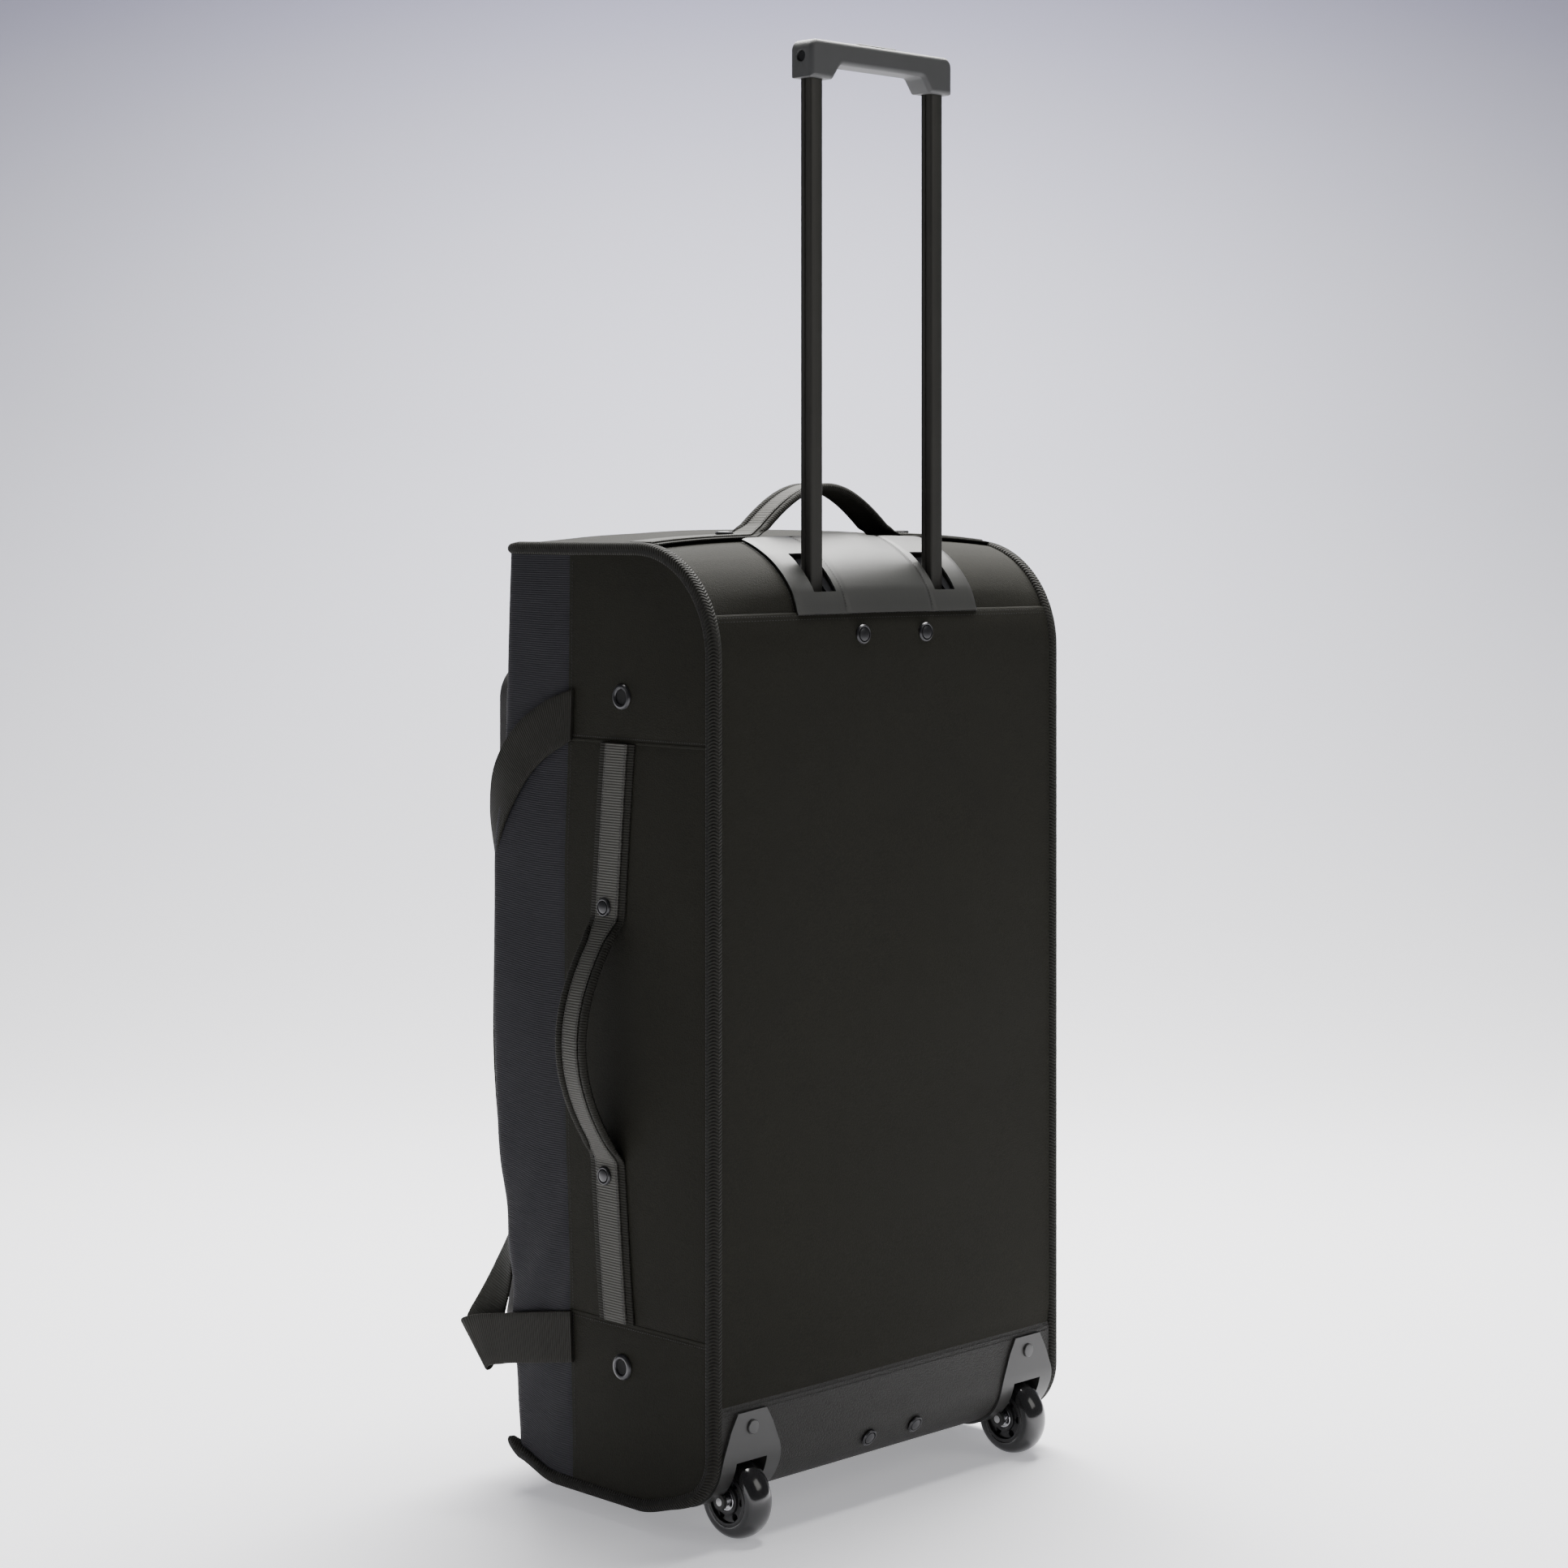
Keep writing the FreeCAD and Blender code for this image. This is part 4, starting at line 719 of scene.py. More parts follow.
def gusset_at(sign, run, z):
    """A point of the gusset, so far round the front edge from the side, at a height.

    The cloth swells a little along its middle and creases in slanting folds in its lower part.
    """
    run, z = np.broadcast_arrays(run, z)
    along = run / turn_run[-1]
    fade = plump(along, 0.5) * plump((z - base) / (top - base), 0.3)
    folds = np.sin((z * 0.8 + run * 1.1) * 2 * math.pi / 0.055) * np.exp(-((z - 0.16) / 0.09) ** 2)
    swell = (1.6 * fade + 1.1 * ripple(run, z, 7.0, 0.1) * fade + 1.6 * folds * fade) * MM
    full = np.clip(run / turn_run[-1] / 0.6, 0, 1)
    full = full * full * (3 - 2 * full)
    x = np.interp(run, turn_run, turn_line[:, 0]) + np.interp(run, turn_run, turn_out[:, 0]) * swell
    y = np.interp(run, turn_run, turn_line[:, 1]) + np.interp(run, turn_run, turn_out[:, 1]) * swell
    ahead = 7 * MM + 10.5 * MM * full
    return np.stack([sign * (x + 4 * MM * fullness(z) * full), y - ahead * fullness(z), z + 0 * run], -1)


run = marks(0, turn_run[-1], 0.003)
for sign, name in SIDES:
    y_of = np.interp(run, turn_run, turn_line[:, 1])
    low = base + 1 * MM - sag(np.maximum(y_of, front + 0.012)) * np.clip(1 - (run - 0.058) / 0.02, 0, 1)
    z = low[:, None] + (top - 1 * MM - low)[:, None] * np.linspace(0, 1, 160)[None]
    gusset = shell("gusset_cloth_" + name, gusset_at(sign, run[:, None], z), -sign * CLOTH_THICK, navy)
    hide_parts("front_gusset_" + name)


def herringbone(place, u, v):
    """Tape woven in two rows of slanting ribs that meet in a point."""
    slant = (v.wave(9 * MM).math("ABSOLUTE") * 2.2 * MM + u).wave(2.6 * MM)
    return slant * 0.35 + grain(place, 0.002) * 0.4 + 0.72, slant * 0.35


tape = finish("herringbone tape", (0.0135, 0.0130, 0.0100), 0.75, herringbone, sheen=0.02, shine=0.2)
TAPE_IN, TAPE_HALF = 3.4 * MM, 5.6 * MM
binding_line = rounded([(front - 0.001, top), (back, top), (back, base), (front - 0.001, base)],
                       [TOP_ROUND, BASE_ROUND], 0.003)
binding_out = left_of(binding_line)
angle = np.linspace(0, 2 * math.pi, 16, endpoint=False)
oval = np.stack([np.sign(np.cos(angle)) * np.abs(np.cos(angle)) ** 0.75,
                 np.sign(np.sin(angle)) * np.abs(np.sin(angle)) ** 0.75], 1) * TAPE_HALF
for sign, name in SIDES:
    line = np.insert(binding_line, 0, sign * (side_x - TAPE_IN), axis=1)
    through = np.insert(binding_out, 0, 0, axis=1)
    line = line - through * 2.2 * MM
    line[:, 2] -= np.where(binding_line[:, 1] < base + 0.04, sag(binding_line[:, 0]), 0)
    far = travel(line)
    ends = np.minimum(far, far[-1] - far)
    scale = 0.45 + 0.55 * np.sqrt(np.clip(ends / 0.012, 0, 1))
    binding = sweep("binding_tape_" + name, line, each((1, 0, 0), line), through, oval, tape,
                    scale=np.stack([scale, scale], 1))
    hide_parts("binding_" + name)


# ---- The front: border, rim wall, zip and lid ----
# Black cloth frames the opening. A wall stands on it all round and carries half of the zip; the padded
# lid carries the other half. The wall leans back lower down, where the bag is pushed in.
def moulded(node, material, width=0.0006, segments=2):
    """A CAD piece with its edges rounded a little, shown in the CAD node's place."""
    source = frame["nodes"][node]
    made = bpy.data.objects.new(node + "_moulded", source.data.copy())
    bpy.context.scene.collection.objects.link(made)
    work = bmesh.new()
    work.from_mesh(made.data)
    bmesh.ops.remove_doubles(work, verts=work.verts, dist=1e-5)
    work.to_mesh(made.data)
    work.free()
    made.data.materials.clear()
    made.data.materials.append(material)
    made.data.shade_smooth()
    made.data.set_sharp_from_angle(angle=math.radians(32))
    edge = made.modifiers.new("edges", "BEVEL")
    edge.width = width
    edge.segments = segments
    edge.limit_method = "ANGLE"
    edge.angle_limit = math.radians(32)
    edge.use_clamp_overlap = True
    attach(made, source["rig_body"])
    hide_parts(node)


lid_low, lid_high = span("lid_panel")
lid_half, lid_base, lid_top = lid_high[0], lid_low[2], lid_high[2]
LID_ROUND, FOOT_ROUND = 28 * MM, 7 * MM


def recess(z):
    """How far the zip line stands back at this height: nothing above the middle, most near the foot."""
    return np.interp(z, [lid_base, 0.132, 0.181, 0.217, 0.275, 0.34, 0.411],
                     [0.009, 0.0134, 0.0234, 0.0164, 0.0074, 0.0034, 0.0]) * 0.8


def frame_line(grow, count):
    """The lid's outline in X and Z, grown by a distance, closed, as points and outward directions."""
    half, low, high = lid_half + grow, lid_base - grow, lid_top + grow
    corners = [(0, low), (half, low), (half, high), (-half, high), (-half, low), (0, low)]
    radii = [FOOT_ROUND + grow, LID_ROUND + grow, LID_ROUND + grow, FOOT_ROUND + grow]
    line = rounded(corners, radii, count=count)[:-1]
    ahead = unit(np.roll(line, -1, 0) - np.roll(line, 1, 0))
    return line, np.stack([ahead[:, 1], -ahead[:, 0]], 1)


def on_frame(grow, y, count=401):
    """Points round the opening, grown from the lid's outline, at a Y that is a function of height."""
    line, out = frame_line(grow, count)
    return np.insert(line, 1, y(line[:, 1]), axis=1), np.insert(out, 1, 0, axis=1)


rim_y, lid_y = span("opening_rim")[0][1], span("zip_rim_half")[0][1] - 0.4 * MM
border_half = span("front_border")[1][0]
x = np.linspace(-border_half, border_half, 60)
for name, low, high in (("top", lid_top - 4 * MM, top - 1 * MM), ("low", base + 1 * MM, lid_base + 4 * MM)):
    z = np.linspace(low, high, 20)
    swell = 1.5 * MM * plump((z[None] - low) / (high - low), 0.5) * plump((x[:, None] + 0.17) / 0.34, 0.3)
    grid = np.stack(np.broadcast_arrays(x[:, None], front - swell, z[None]), -1)
    strip = shell("border_cloth_" + name, grid, CLOTH_THICK, cloth)
    if name == "top":
        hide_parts("front_border")

rings = []
for level in np.linspace(0, 1, 9):
    bow = 1.2 * MM * math.sin(level * math.pi)
    rings.append(on_frame(bow, lambda z: front + (rim_y + recess(z) - front) * level)[0])
rim = shell("rim_wall_cloth", np.stack(rings, 1), CLOTH_THICK, cloth, wrap=True)
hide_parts("opening_rim")


def toothed(place, u, v):
    """A zip's coil: close turns of cord side by side."""
    turn = u.wave(1.9 * MM)
    return turn * 0.3 + 0.8, turn * 0.35


coil = finish("zip coil", (0.016, 0.016, 0.016), 0.4, toothed)
zip_tape = finish("zip tape", (0.020, 0.019, 0.018), 0.7, woven)
for name, y, way, body, node in (("rim", rim_y, 1, "root", "zip_rim_half"),
                                 ("lid", lid_y, -1, "lid", "zip_lid_half")):
    line, out = on_frame(1.6 * MM, lambda z: y - way * 1.6 * MM + recess(z), 601)
    away = each((0, 1, 0), line)
    ring = oval_profile(1.75 * MM, 1.75 * MM)
    half_zip = sweep("zip_coil_" + name, line, out, away, ring, coil, body, closed=True)
    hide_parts(node)
    line, out = on_frame(1.0 * MM, lambda z: y + way * 5 * MM + recess(z), 601)
    tape_shape = band_profile(10 * MM, 1.2 * MM, 4)
    sweep("zip_tape_" + name, line, away, out, tape_shape, zip_tape, body, closed=True)
    line, out = on_frame(3.2 * MM, lambda z: y - way * 1.7 * MM + recess(z), 601)
    line, out = (np.concatenate([a, a[:1]]) for a in (line, out))
    grains("zip_teeth_" + name, [line], [out], 2.0 * MM, (1.5 * MM, 3.0 * MM, 1.4 * MM), coil, body)

row = lid_base + (lid_top - lid_base) * (1 - np.cos(np.linspace(0, math.pi, 90))) / 2
u = np.sin(np.linspace(-math.pi / 2, math.pi / 2, 70))
corner = np.clip((row - (lid_top - LID_ROUND)) / LID_ROUND, 0, 1)
half_at = lid_half - LID_ROUND * (1 - np.sqrt(1 - corner ** 2 * 0.9999))
foot = np.clip((lid_base + FOOT_ROUND - row) / FOOT_ROUND, 0, 1)
half_at = half_at - FOOT_ROUND * (1 - np.sqrt(1 - foot ** 2 * 0.9999))
x = half_at[:, None] * u[None]
inset = np.minimum(np.minimum(lid_top - row, row - lid_base)[:, None], half_at[:, None] - np.abs(x))
rise = np.sqrt(1 - (1 - np.clip(inset / 0.014, 0, 1)) ** 2)
pad = 1.5 * MM + (lid_y - lid_low[1] - 4 * MM) * rise + 3 * MM * np.clip(inset / 0.1, 0, 1) ** 0.7
pad = pad + 0.8 * MM * ripple(x, row[:, None], 11.0, 0.15) * rise
grid = np.stack([x, lid_y + recess(row)[:, None] - pad, row[:, None] + 0 * x], -1)
behind = np.stack([x, lid_y + recess(row)[:, None] + 0 * x, row[:, None] + 0 * x], -1)
lid_uv = np.tile(grid[..., [0, 2]].reshape(-1, 2), (2, 1))
lid = make("lid_pad", *slab(grid, behind), cloth, "lid", lid_uv)
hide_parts("lid_panel")
enamel = finish("black enamel", (0.02, 0.02, 0.02), 0.3, metallic=0.4)
for name in ("left", "right"):
    moulded("zip_slider_" + name, enamel, 0.7 * MM)
    moulded("zip_pull_" + name, enamel, 0.6 * MM)


# ---- The patch over the trolley and its glossy seat ----
# A smooth coated patch lies over the rounded corner of the top, sewn down at its two edges and along
# two seams. Under it a glossy moulded seat shows through the windows and through the open front edge.
PATCH_HALF, SEAM_X = 103 * MM, 49.5 * MM


def satin(place, u, v):
    """Smooth coated cloth: a very fine grain and slow clouds."""
    return grain(place, 0.05) * 0.2 + 0.9, grain(place, 0.0012) * 0.07


patch_skin = finish("coated patch", (0.030, 0.0305, 0.0280), 0.45, satin, shine=0.5)
x = marks(-PATCH_HALF, PATCH_HALF, 0.003, *window_edges)
patch_from = run_at(span("top_patch")[0][1])
run = marks(patch_from, run_of_hem + 0.003, 0.003, window_from, window_to)
gape = 3.0 * MM * np.exp(-(x[:, None] / 0.032) ** 4) * np.exp(-(run[None] - patch_from) / 0.016)
valley = -0.9 * MM * np.exp(-((np.abs(x[:, None]) - SEAM_X) / 0.0022) ** 2)
droop = -1.2 * MM * np.exp(-(PATCH_HALF - np.abs(x[:, None])) / 0.003)
puff = 0.8 * MM * plump((x[:, None] / SEAM_X + 1) / 2, 0.6) * plump((run[None] - patch_from) / 0.1, 0.5)
patch = shell("patch_skin", sleeve(x[:, None], run[None], 3.6 * MM + gape + valley + droop + puff), 1.6 * MM,
              patch_skin, windows(x, run))
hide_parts("top_patch")
line_run = np.linspace(patch_from + 0.002, run_of_hem - 0.001, 60)
rows = [sleeve(s * SEAM_X, line_run, 3.2 * MM) for s in (-1, 1)]
rows += [sleeve(s * (PATCH_HALF + 1.8 * MM), line_run, 0.5 * MM) for s in (-1, 1)]
strip_x = np.linspace(-PATCH_HALF + 0.003, PATCH_HALF - 0.003, 80)
outs = [sleeve_out(line_run)] * 4
grains("patch_stitches", rows, outs, 2.4 * MM, (1.7 * MM, 0.7 * MM, 0.5 * MM), dark_thread)
lip = sleeve(strip_x, patch_from - 4.5 * MM, 1.2 * MM)
up = each((0, 0, 1), lip)
sweep("patch_lip", lip, each((0, 1, 0), lip), up, band_profile(7 * MM, 2.2 * MM, 5), cloth)
grains("patch_lip_stitches", [lip + up * 1.2 * MM], [up], 2.4 * MM, (1.7 * MM, 0.7 * MM, 0.6 * MM),
       dark_thread)

gloss = finish("glossy moulding", (0.028, 0.028, 0.030), 0.12, coat=0.6)
hole_from, hole_to = run_at(tube_y - 7.5 * MM), run_at(tube_y + 7.2 * MM)
x = marks(-93 * MM, 93 * MM, 0.004, *[s * (tube_x + w) for s in (-1, 1) for w in (-8 * MM, 8 * MM)])
run = marks(patch_from + 0.001, run_of_hem - 0.008, 0.004, hole_from, hole_to)
cell_x, cell_run = np.meshgrid(middles(x), middles(run), indexing="ij")
hole = (np.abs(np.abs(cell_x) - tube_x) < 8 * MM) & (cell_run > hole_from) & (cell_run < hole_to)
dip = -7 * MM * np.exp(-((np.abs(x[:, None]) - tube_x) / 0.012) ** 4) * plump(
    (run[None] - window_from + 0.004) / (window_to - window_from + 0.008), 0.6)
shell("seat_cover", sleeve(x[:, None], run[None], 1.6 * MM + dip), 1.2 * MM, gloss, hole)
moulded("trolley_seat", gloss, 0.8 * MM)
dress(finish("inner plastic", (0.03, 0.03, 0.03), 0.5), "lower_bridge", "tube_plugs")
dress(finish("mill alloy", (0.55, 0.55, 0.56), 0.4, metallic=1.0), "guide_tubes")
dress(finish("lining", (0.04, 0.04, 0.04), 0.85, woven), "trolley_lining")
dress(finish("plain steel", (0.6, 0.6, 0.6), 0.35, metallic=1.0), "release_rods", "lock_pin_left",
      "lock_pin_right", "wheel_axles")


# ---- The trolley that pulls out ----
# Two dark anodised tubes with a fine groove down each outer face, a moulded grip screwed to their tops
# and a button in the middle of the grip.
def brushed(place, u, v):
    """Metal drawn along its length: streaks that change across it and hardly along it."""
    streak = place.node("ShaderNodeMapping", {0: place, 3: (900, 900, 4)})
    streak = place.node("ShaderNodeTexNoise", {"Vector": streak, "Scale": 1.0, "Detail": 2.0})
    return streak * 0.25 + grain(place, 0.08) * 0.25 + 0.75, streak * 0.03


alloy = finish("dark alloy", (0.045, 0.044, 0.039), 0.42, brushed, metallic=0.6)
half_x, half_y, bend_r = TUBE_WIDE / 2, TUBE_DEEP / 2, 1.8 * MM
t = np.linspace(0, math.pi / 2, 5)
corner = np.stack([half_x - bend_r + bend_r * np.cos(t), half_y - bend_r + bend_r * np.sin(t)], 1)
notch = np.array([(half_x, 1.1 * MM), (half_x - GROOVE, 0.8 * MM)])
quarter = np.concatenate([notch[::-1], corner])
loop = np.concatenate([quarter, quarter[::-1] * [-1, 1], quarter * [-1, -1], quarter[::-1] * [1, -1]])
loop = np.roll(loop, -7, axis=0)
for sign, name in SIDES:
    heights = marks(tube_low[2], tube_high[2] - 1 * MM, 0.02)
    line = np.stack([0 * heights + sign * tube_x, 0 * heights + tube_y, heights], 1)
    pole = sweep("slide_tube_" + name, line, each((1, 0, 0), line), each((0, 1, 0), line), loop, alloy,
                 "trolley")
    if name == "right":
        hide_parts("sliding_tubes")
grip_plastic = finish("grip plastic", (0.053, 0.054, 0.054), 0.55)
moulded("grip", grip_plastic, 0.9 * MM, 3)
moulded("release_button", finish("button plastic", (0.022, 0.022, 0.022), 0.5), 0.5 * MM)
nickel = finish("black nickel", (0.055, 0.055, 0.057), 0.3, metallic=0.9)
dress(nickel, "grip_screws")


# ---- The wheels in their housings ----
# A satin moulding wraps the corner round each wheel. The wheel is a glossy moulded tyre on a hub with
# oval windows, and a steel ball bearing sits in each face of the hub.
def turned(name, profile, centres, axis, material, body="root", count=40):
    """Round pieces: corners (along, radius) turned about an axis at each centre, welded at the pole."""
    axis = np.array(axis, float)
    side = unit(np.cross(axis, (0.3, 0.2, 0.9)))
    other = np.cross(axis, side)
    profile = np.asarray(profile, float)
    angle = np.linspace(0, 2 * math.pi, count, endpoint=False)
    circle = np.cos(angle)[:, None] * side + np.sin(angle)[:, None] * other
    size = len(profile)
    points, faces = [], []
    for i, centre in enumerate(centres):
        points.append(np.array(centre) + profile[None, :, :1] * axis + profile[None, :, 1:] * circle[:, None])
        ids = np.arange(count * size).reshape(count, size) + i * count * size
        after, beyond = np.roll(ids, -1, axis=1), np.roll(ids, -1, axis=0)
        faces.append(np.stack([ids, after, np.roll(beyond, -1, axis=1), beyond], -1).reshape(-1, 4))
    made = make(name, np.concatenate(points), np.concatenate(faces), material, body, angle=30)
    work = bmesh.new()
    work.from_mesh(made.data)
    bmesh.ops.remove_doubles(work, verts=work.verts, dist=1e-6)
    work.to_mesh(made.data)
    work.free()
    return made


housing_plastic = finish("housing plastic", (0.030, 0.030, 0.0285), 0.38, shine=0.4)
tyre_skin = finish("glossy tyre", (0.010, 0.010, 0.010), 0.16, coat=0.5)
hub_plastic = finish("hub plastic", (0.016, 0.016, 0.016), 0.28)
chrome = finish("bright steel", (0.75, 0.75, 0.76), 0.14, metallic=1.0)
WHEEL_R, WHEEL_HALF = (wheel_high[2] - wheel_low[2]) / 2, (wheel_high[0] - wheel_low[0]) / 2
t = np.linspace(0, math.pi, 33)
crown = np.stack([-np.cos(t) * WHEEL_HALF, 21 * MM + (WHEEL_R - 21 * MM) * np.sin(t) ** 0.62], 1)
BEAD = np.array([(WHEEL_HALF - 0.8 * MM, 19 * MM)])
tyre_profile = np.concatenate([BEAD * [-1, 1], crown, BEAD])
ring_profile = np.array([(-2.5, 3.1), (2.1, 3.1), (2.5, 3.5), (2.5, 4.4), (1.9, 4.6), (1.9, 6.3),
                         (2.5, 6.5), (2.5, 7.6), (2.1, 8.0), (-2.5, 8.0)]) * MM
for sign, name in SIDES:
    centre = np.array((sign * wheel_x, wheel_y, wheel_z))
    body = "wheel_" + name
    tyre = turned("tyre_body_" + name, tyre_profile, [centre], (1, 0, 0), tyre_skin, body, 72)
    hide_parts("tyre_" + name)
    moulded("wheel_hub_" + name, hub_plastic, 0.7 * MM)
    for way in (1, -1):
        spot = centre + np.array((way * (WHEEL_HALF - 2.5 * MM), 0, 0))
        race = turned("bearing_%s_%s" % (name, "outer" if way == sign else "inner"), ring_profile, [spot],
                      (way, 0, 0), chrome, body)
    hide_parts("wheel_bearings_" + name)
    moulded("wheel_housing_" + name, housing_plastic, 0.8 * MM, 3)


def cap_profile(radius, proud, disc, shank):
    """A capped rivet: a ring with a shallow groove round a slightly domed disc, on a hidden shank."""
    return [(-shank, 0), (-shank, 2 * MM), (0, 2 * MM), (0, radius - 0.4 * MM), (proud * 0.5, radius),
            (proud * 0.9, radius - 0.7 * MM), (proud, radius - 1.3 * MM), (proud * 0.9, disc + 0.5 * MM),
            (proud * 0.45, disc + 0.2 * MM), (proud * 0.95, disc - 0.3 * MM), (proud * 1.15, disc * 0.6),
            (proud * 1.2, 0)]


rivet_black = finish("blackened rivet", (0.045, 0.045, 0.044), 0.36, metallic=0.3)
rivet_z = np.mean(span("housing_rivets"), axis=0)[2]
RIVET = np.array([(-4, 0), (-4, 2), (0, 2), (0, 5.4), (1.2, 5.4), (1.7, 4.9), (1.9, 2.5), (1.9, 0)]) * MM
rivets = turned("housing_rivet_caps", RIVET, [(s * wheel_x, back + 4 * MM, rivet_z) for s in (-1, 1)],
                (0, 1, 0), rivet_black)
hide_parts("housing_rivets")


# ---- Handles ----
# Each handle is one black webbing with a narrower grey webbing sewn down its middle. It lies flat on the
# bag, is held by a stud and a row of stitches, and then lifts off in an arch whose edges are folded under.
def webbed(place, u, v):
    """Flat webbing: fine ribs across its length and a fine grain."""
    rib = u.wave(2.1 * MM)
    fine = grain(place, 0.0011, 3.0)
    return rib * 0.16 + fine * 0.5 + 0.72, rib * 0.16 + fine * 0.12


black_webbing = finish("black webbing", (0.0140, 0.0136, 0.0105), 0.78, webbed, shine=0.2)
grey_webbing = finish("grey webbing", (0.058, 0.057, 0.050), 0.7, webbed, shine=0.3)
BLACK_WIDE, GREY_WIDE, WEB = 39 * MM, 25 * MM, 1.6 * MM


def webbing(name, line, across, out, wide, material, narrow):
    """Webbing along a line, narrowed by a share at each point."""
    scale = np.stack([narrow, np.ones(len(line))], 1)
    return sweep(name, line, across, out, band_profile(wide, WEB, 8), material, scale=scale)


def handle(name, line, out, free):
    """Both webbings of a handle along one line, with their stitches and the edges folded under the arch."""
    side = each((0, 1, 0), line)
    narrow = 1 - 0.2 * free
    black = webbing(name + "_black", line + out * WEB / 2, side, out, BLACK_WIDE, black_webbing, narrow)
    narrow_grey = 1 - 0.32 * free
    grey = webbing(name + "_grey", line + out * (WEB * 1.5), side, out, GREY_WIDE, grey_webbing, narrow_grey)
    lifted = free > 0.35
    ring = oval_profile(3.6 * MM, 2.8 * MM)
    for way, tag in ((1, "a"), (-1, "b")):
        edge = (line + side * way * (BLACK_WIDE * narrow / 2 - 2.4 * MM)[:, None] + out * 1.2 * MM)[lifted]
        ends = np.minimum(travel(edge), travel(edge)[-1] - travel(edge))
        size = np.minimum(1, (ends / 0.01) ** 0.5) * 0.8 + 0.2
        sweep("%s_fold_%s" % (name, tag), edge, side[lifted], out[lifted], ring, black_webbing,
              scale=np.stack([size, size], 1))
    inset = (GREY_WIDE * narrow_grey / 2 - 1.5 * MM)[:, None]
    rows = [line + side * way * inset + out * (WEB * 2 + 0.1 * MM) for way in (-1, 1)]
    grains(name + "_stitches", rows, [out, out], 2.6 * MM, (1.9 * MM, 0.9 * MM, 0.6 * MM), dark_thread)
    return black, grey


def bowed(start, foot_a, foot_b, stop, rise, power=0.85):
    """A line that is flat, arches up between two feet and is flat again, as place, height and freedom."""
    places = np.linspace(start, stop, 500)
    part = np.clip((places - foot_a) / (foot_b - foot_a), 0, 1)
    height = rise * np.sin(part * math.pi) ** power
    spread = max(3, int(13 * MM / abs(places[1] - places[0]))) // 2 * 2 + 1
    bell = np.hanning(spread + 2) / np.hanning(spread + 2).sum()
    height = np.convolve(np.pad(height, spread // 2 + 1, mode="edge"), bell, mode="valid")
    line = np.stack([places, height], 1)
    far = travel(line)
    even = np.linspace(0, far[-1], int(far[-1] / (1.8 * MM)))
    place, height = placed(line, far, even).T
    return place, height, np.clip(height / (14 * MM), 0, 1)


handle_low, handle_high = span("side_handle_right")
top_handle_low, top_handle_high = span("top_handle")
handle_y = (handle_low[1] + handle_high[1]) / 2
top_handle_y = (top_handle_low[1] + top_handle_high[1]) / 2
for sign, name in SIDES:
    rise = handle_high[0] - side_x - 6.0 * MM
    z, height, free = bowed(upper_seam - 1 * MM, handle_high[2], handle_low[2], lower_seam + 1 * MM, rise)
    slope_z, slope_x = np.gradient(z), np.gradient(height)
    out = unit(np.stack([-sign * slope_z, 0 * z, slope_x], 1))
    swell = side_swell(np.full(len(z), handle_y), z) * (1 - free)
    lean = 9 * MM * np.clip((np.abs(z - (handle_low[2] + handle_high[2]) / 2) - 0.095) / 0.13, 0, 1)
    line = np.stack([sign * (side_x + swell + height + 0.3 * MM), handle_y + lean, z], 1)
    black, grey = handle("side_handle_" + name, line, out, free)
    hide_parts("side_handle_" + name)
    if name == "right":
        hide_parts("side_handle_bands")

rise = top_handle_high[2] - top - 4 * MM
half = top_handle_high[0]
x, height, free = bowed(wide - 3 * MM, half, -half, 3 * MM - wide, rise, 0.95)
slope_x, slope_z = np.gradient(x), np.gradient(height)
out = unit(np.stack([slope_z, 0 * x, -slope_x], 1))
under = (sleeve(x, run_at(top_handle_y))[:, 2] - top) * (1 - free)
line = np.stack([x, 0 * x + top_handle_y, top + height + under + 0.3 * MM], 1)
black, grey = handle("top_handle", line, out, free)
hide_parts("top_handle", "top_handle_bands")

stud_profile = cap_profile(7.3 * MM, 2.4 * MM, 4.9 * MM, 2 * MM)
side_z = (handle_high[2] + 10 * MM, handle_low[2] - 13 * MM)
for sign, name in SIDES:
    spots = [side_at(sign, np.array(handle_y), np.array(z), 3.4 * MM) for z in side_z]
    turned("side_studs_" + name, stud_profile, spots, (sign, 0, 0), nickel)
spots = [sleeve(np.array(s * (half + 19 * MM)), run_at(top_handle_y), 3.4 * MM) for s in (-1, 1)]
turned("top_studs", stud_profile, spots, (0, 0, 1), nickel)
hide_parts("handle_studs")
bars, outs = [], []
for sign, name in SIDES:
    for z in (handle_high[2] + 0.5 * MM, handle_low[2] - 0.5 * MM):
        y = np.linspace(handle_y - 13 * MM, handle_y + 13 * MM, 8)
        bars.append(side_at(sign, y, z, 3.9 * MM))
        outs.append((sign, 0, 0))
grains("handle_bar_tacks", bars, outs, 1.5 * MM, (0.9 * MM, 2.6 * MM, 0.8 * MM), dark_thread)


# ---- Carry straps ----
# Broad black webbing, sewn into the seam between the side and the gusset at both ends. Each strap sweeps
# forward, turns round the front edge beside the lid, and folds back low down.
STRAP_WIDE, STRAP_THICK = 40 * MM, 2.4 * MM
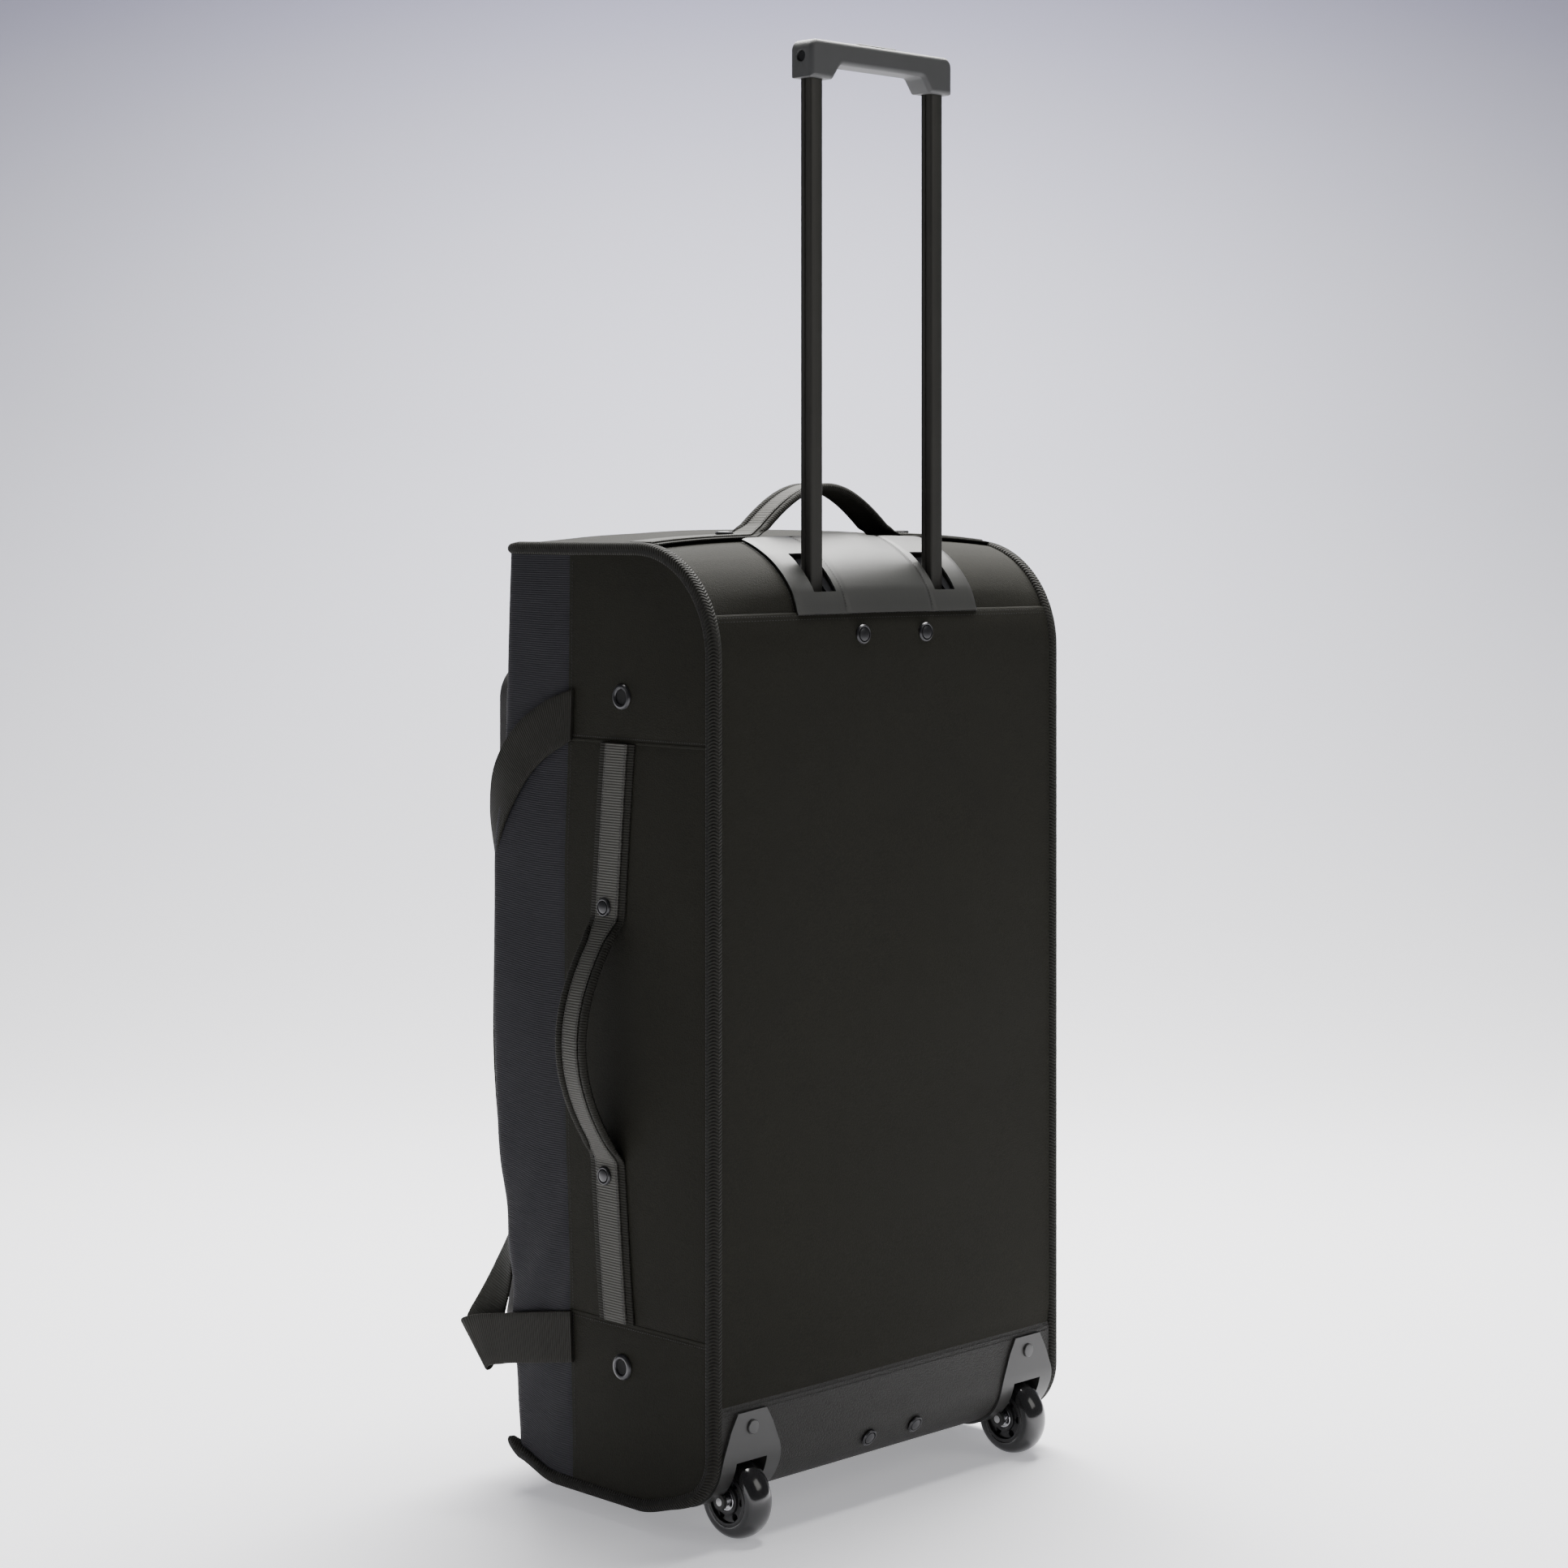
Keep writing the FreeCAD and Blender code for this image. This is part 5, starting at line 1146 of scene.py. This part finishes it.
# Each row is a place in millimetres, the direction across the webbing, the direction out of its face and
# a share of its width, from the upper seam to the lower one.
STATIONS = np.array([
    (198.0, -15.4, 617.0, 0, 0.05, 1, 1, 0, 0, 1),
    (199.6, -40.0, 607.0, 0, -0.37, 0.93, 1, 0, 0, 1),
    (200.5, -70.0, 588.0, 0, -0.62, 0.79, 1, 0, 0, 1),
    (200.0, -92.0, 563.0, -0.1, -0.79, 0.6, 1, -0.2, 0, 1),
    (194.0, -112.0, 528.0, -0.4, -0.8, 0.42, 0.85, -0.5, -0.1, 1),
    (184.0, -122.5, 484.0, -0.65, -0.74, 0.12, 0.75, -0.66, 0, 1),
    (179.6, -127.4, 430.0, -0.707, -0.707, 0, 0.707, -0.707, 0, 1),
    (179.6, -127.4, 330.0, -0.707, -0.707, 0, 0.707, -0.707, 0, 1),
    (177.0, -122.0, 262.0, -0.707, -0.707, 0, 0.707, -0.707, 0, 1),
    (171.0, -118.0, 204.0, -0.707, -0.707, 0, 0.707, -0.707, 0, 1),
    (178.0, -123.0, 162.0, -0.35, -0.93, 0.1, 0.93, -0.35, 0, 1),
    (189.0, -128.0, 130.0, -0.1, -0.96, 0.25, 1, -0.1, 0, 1.05),
    (193.5, -130.0, 114.0, -0.03, -0.8, 0.6, 0.9, 0.3, 0.2, 1.15),
    (195.5, -132.0, 107.0, 0, -0.7, 0.72, 0.5, 0.6, 0.6, 1.2),
    (198.5, -133.0, 105.5, 0, -0.7, 0.72, 0, 0.72, 0.7, 1.2),
    (201.0, -131.0, 107.5, 0, -0.67, 0.74, -0.7, 0.4, 0.4, 1.18),
    (201.8, -124.0, 111.0, 0, -0.5, 0.86, -1, 0, 0, 1.08),
    (201.3, -100.0, 117.0, 0, -0.2, 1, -1, 0, 0, 1),
    (200.3, -60.0, 125.0, 0, -0.14, 1, -1, 0, 0, 1),
    (198.0, -15.4, 133.0, 0, -0.05, 1, -1, 0, 0, 1)])


def smooth(values, at, places):
    """Values at places, through the given ones at their own places, with no kinks."""
    values = np.asarray(values, float)
    slope = np.gradient(values, at, axis=0)
    i = np.clip(np.searchsorted(at, places, side="right") - 1, 0, len(at) - 2)
    gap = (at[i + 1] - at[i])[:, None]
    t = ((places - at[i]) / (at[i + 1] - at[i]))[:, None]
    return ((2 * t ** 3 - 3 * t ** 2 + 1) * values[i] + (t ** 3 - 2 * t ** 2 + t) * gap * slope[i]
            + (3 * t ** 2 - 2 * t ** 3) * values[i + 1] + (t ** 3 - t ** 2) * gap * slope[i + 1])


for sign, name in SIDES:
    mirror = np.array((sign, 1, 1))
    spots = STATIONS[:, :3] * MM * mirror
    at = travel(spots)
    fold = np.linspace(at[11], at[17], 60)
    places = np.unique(np.round(np.concatenate([np.linspace(0, at[-1], 260), fold]), 6))
    line = smooth(spots, at, places)
    across = unit(smooth(STATIONS[:, 3:6] * mirror, at, places))
    normal = smooth(STATIONS[:, 6:9] * mirror, at, places)
    normal = unit(normal - across * np.einsum("ij,ij->i", across, normal)[:, None])
    grow = smooth(STATIONS[:, 9:], at, places)[:, 0]
    strap = sweep("strap_" + name, line, across, normal, band_profile(STRAP_WIDE, STRAP_THICK, 10),
                  black_webbing, "strap_" + name, scale=np.stack([grow, 1 + 0 * grow], 1))
    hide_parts("carry_strap_" + name)


# ---- Feet, eyelets, snaps and rivets ----
# Two rubber feet carry the front. Black nickel eyelets vent the sides, with a near-black disc of painted
# shade in each hole; two snaps hold the trolley seat through the back and two rivets hold the lower bridge
# through the guard.
moulded("stand_feet", finish("foot rubber", (0.016, 0.016, 0.016), 0.7), 1.0 * MM, 3)
EYELET_FROM_BACK = 98 * MM
eyelet_low, eyelet_high = span("vent_eyelets")
eyelet_profile = np.array([(-3.6, 6), (1.1, 6), (1.9, 6.7), (2.1, 7.8), (1.6, 9.2), (0.4, 10),
                           (-0.4, 9.6), (-0.4, 7), (-3.6, 7)]) * MM
hole_profile = np.array([(-0.2, 0), (0.45, 0), (0.45, 6.4), (-0.2, 6.4)]) * MM
# Painted shade: a near-black disc fills each eyelet's hole in place of the dark inside of the bag.
vent_painted_shade = finish("vent painted shade", (0.002, 0.002, 0.002), 0.9)
for sign, name in SIDES:
    spots = [side_at(sign, np.array(back - EYELET_FROM_BACK), np.array(z), 0.2 * MM)
             for z in (eyelet_low[2] + 10 * MM, eyelet_high[2] - 10 * MM)]
    rings = turned("eyelet_rings_" + name, eyelet_profile, spots, (sign, 0, 0), nickel)
    turned("eyelet_shade_discs_" + name, hole_profile, spots, (sign, 0, 0), vent_painted_shade)
    if name == "right":
        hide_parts("vent_eyelets")
snap_low, snap_high = span("seat_snaps")
snap_x, snap_z = snap_high[0] - 7.5 * MM, (snap_low[2] + snap_high[2]) / 2
spots = [sleeve(np.array(s * snap_x), run_down(snap_z), 1.2 * MM) for s in (-1, 1)]
snaps = turned("snap_caps", cap_profile(7.75 * MM, 2.5 * MM, 5.5 * MM, 3 * MM), spots, (0, 1, 0), nickel)
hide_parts("seat_snaps")
low, high = span("bridge_rivets")
rivet_run = run_of_corner + BASE_ROUND * math.asin((base + BASE_ROUND - (low[2] + high[2]) / 2) / BASE_ROUND)
spots = [sleeve(np.array(s * (high[0] - 7.5 * MM)), rivet_run, 1.6 * MM) for s in (-1, 1)]
rivets = turned("bridge_rivet_caps", cap_profile(7.2 * MM, 2.3 * MM, 4.9 * MM, 3 * MM), spots,
                sleeve_out(np.array(rivet_run)), nickel)
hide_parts("bridge_rivets")

low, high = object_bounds()
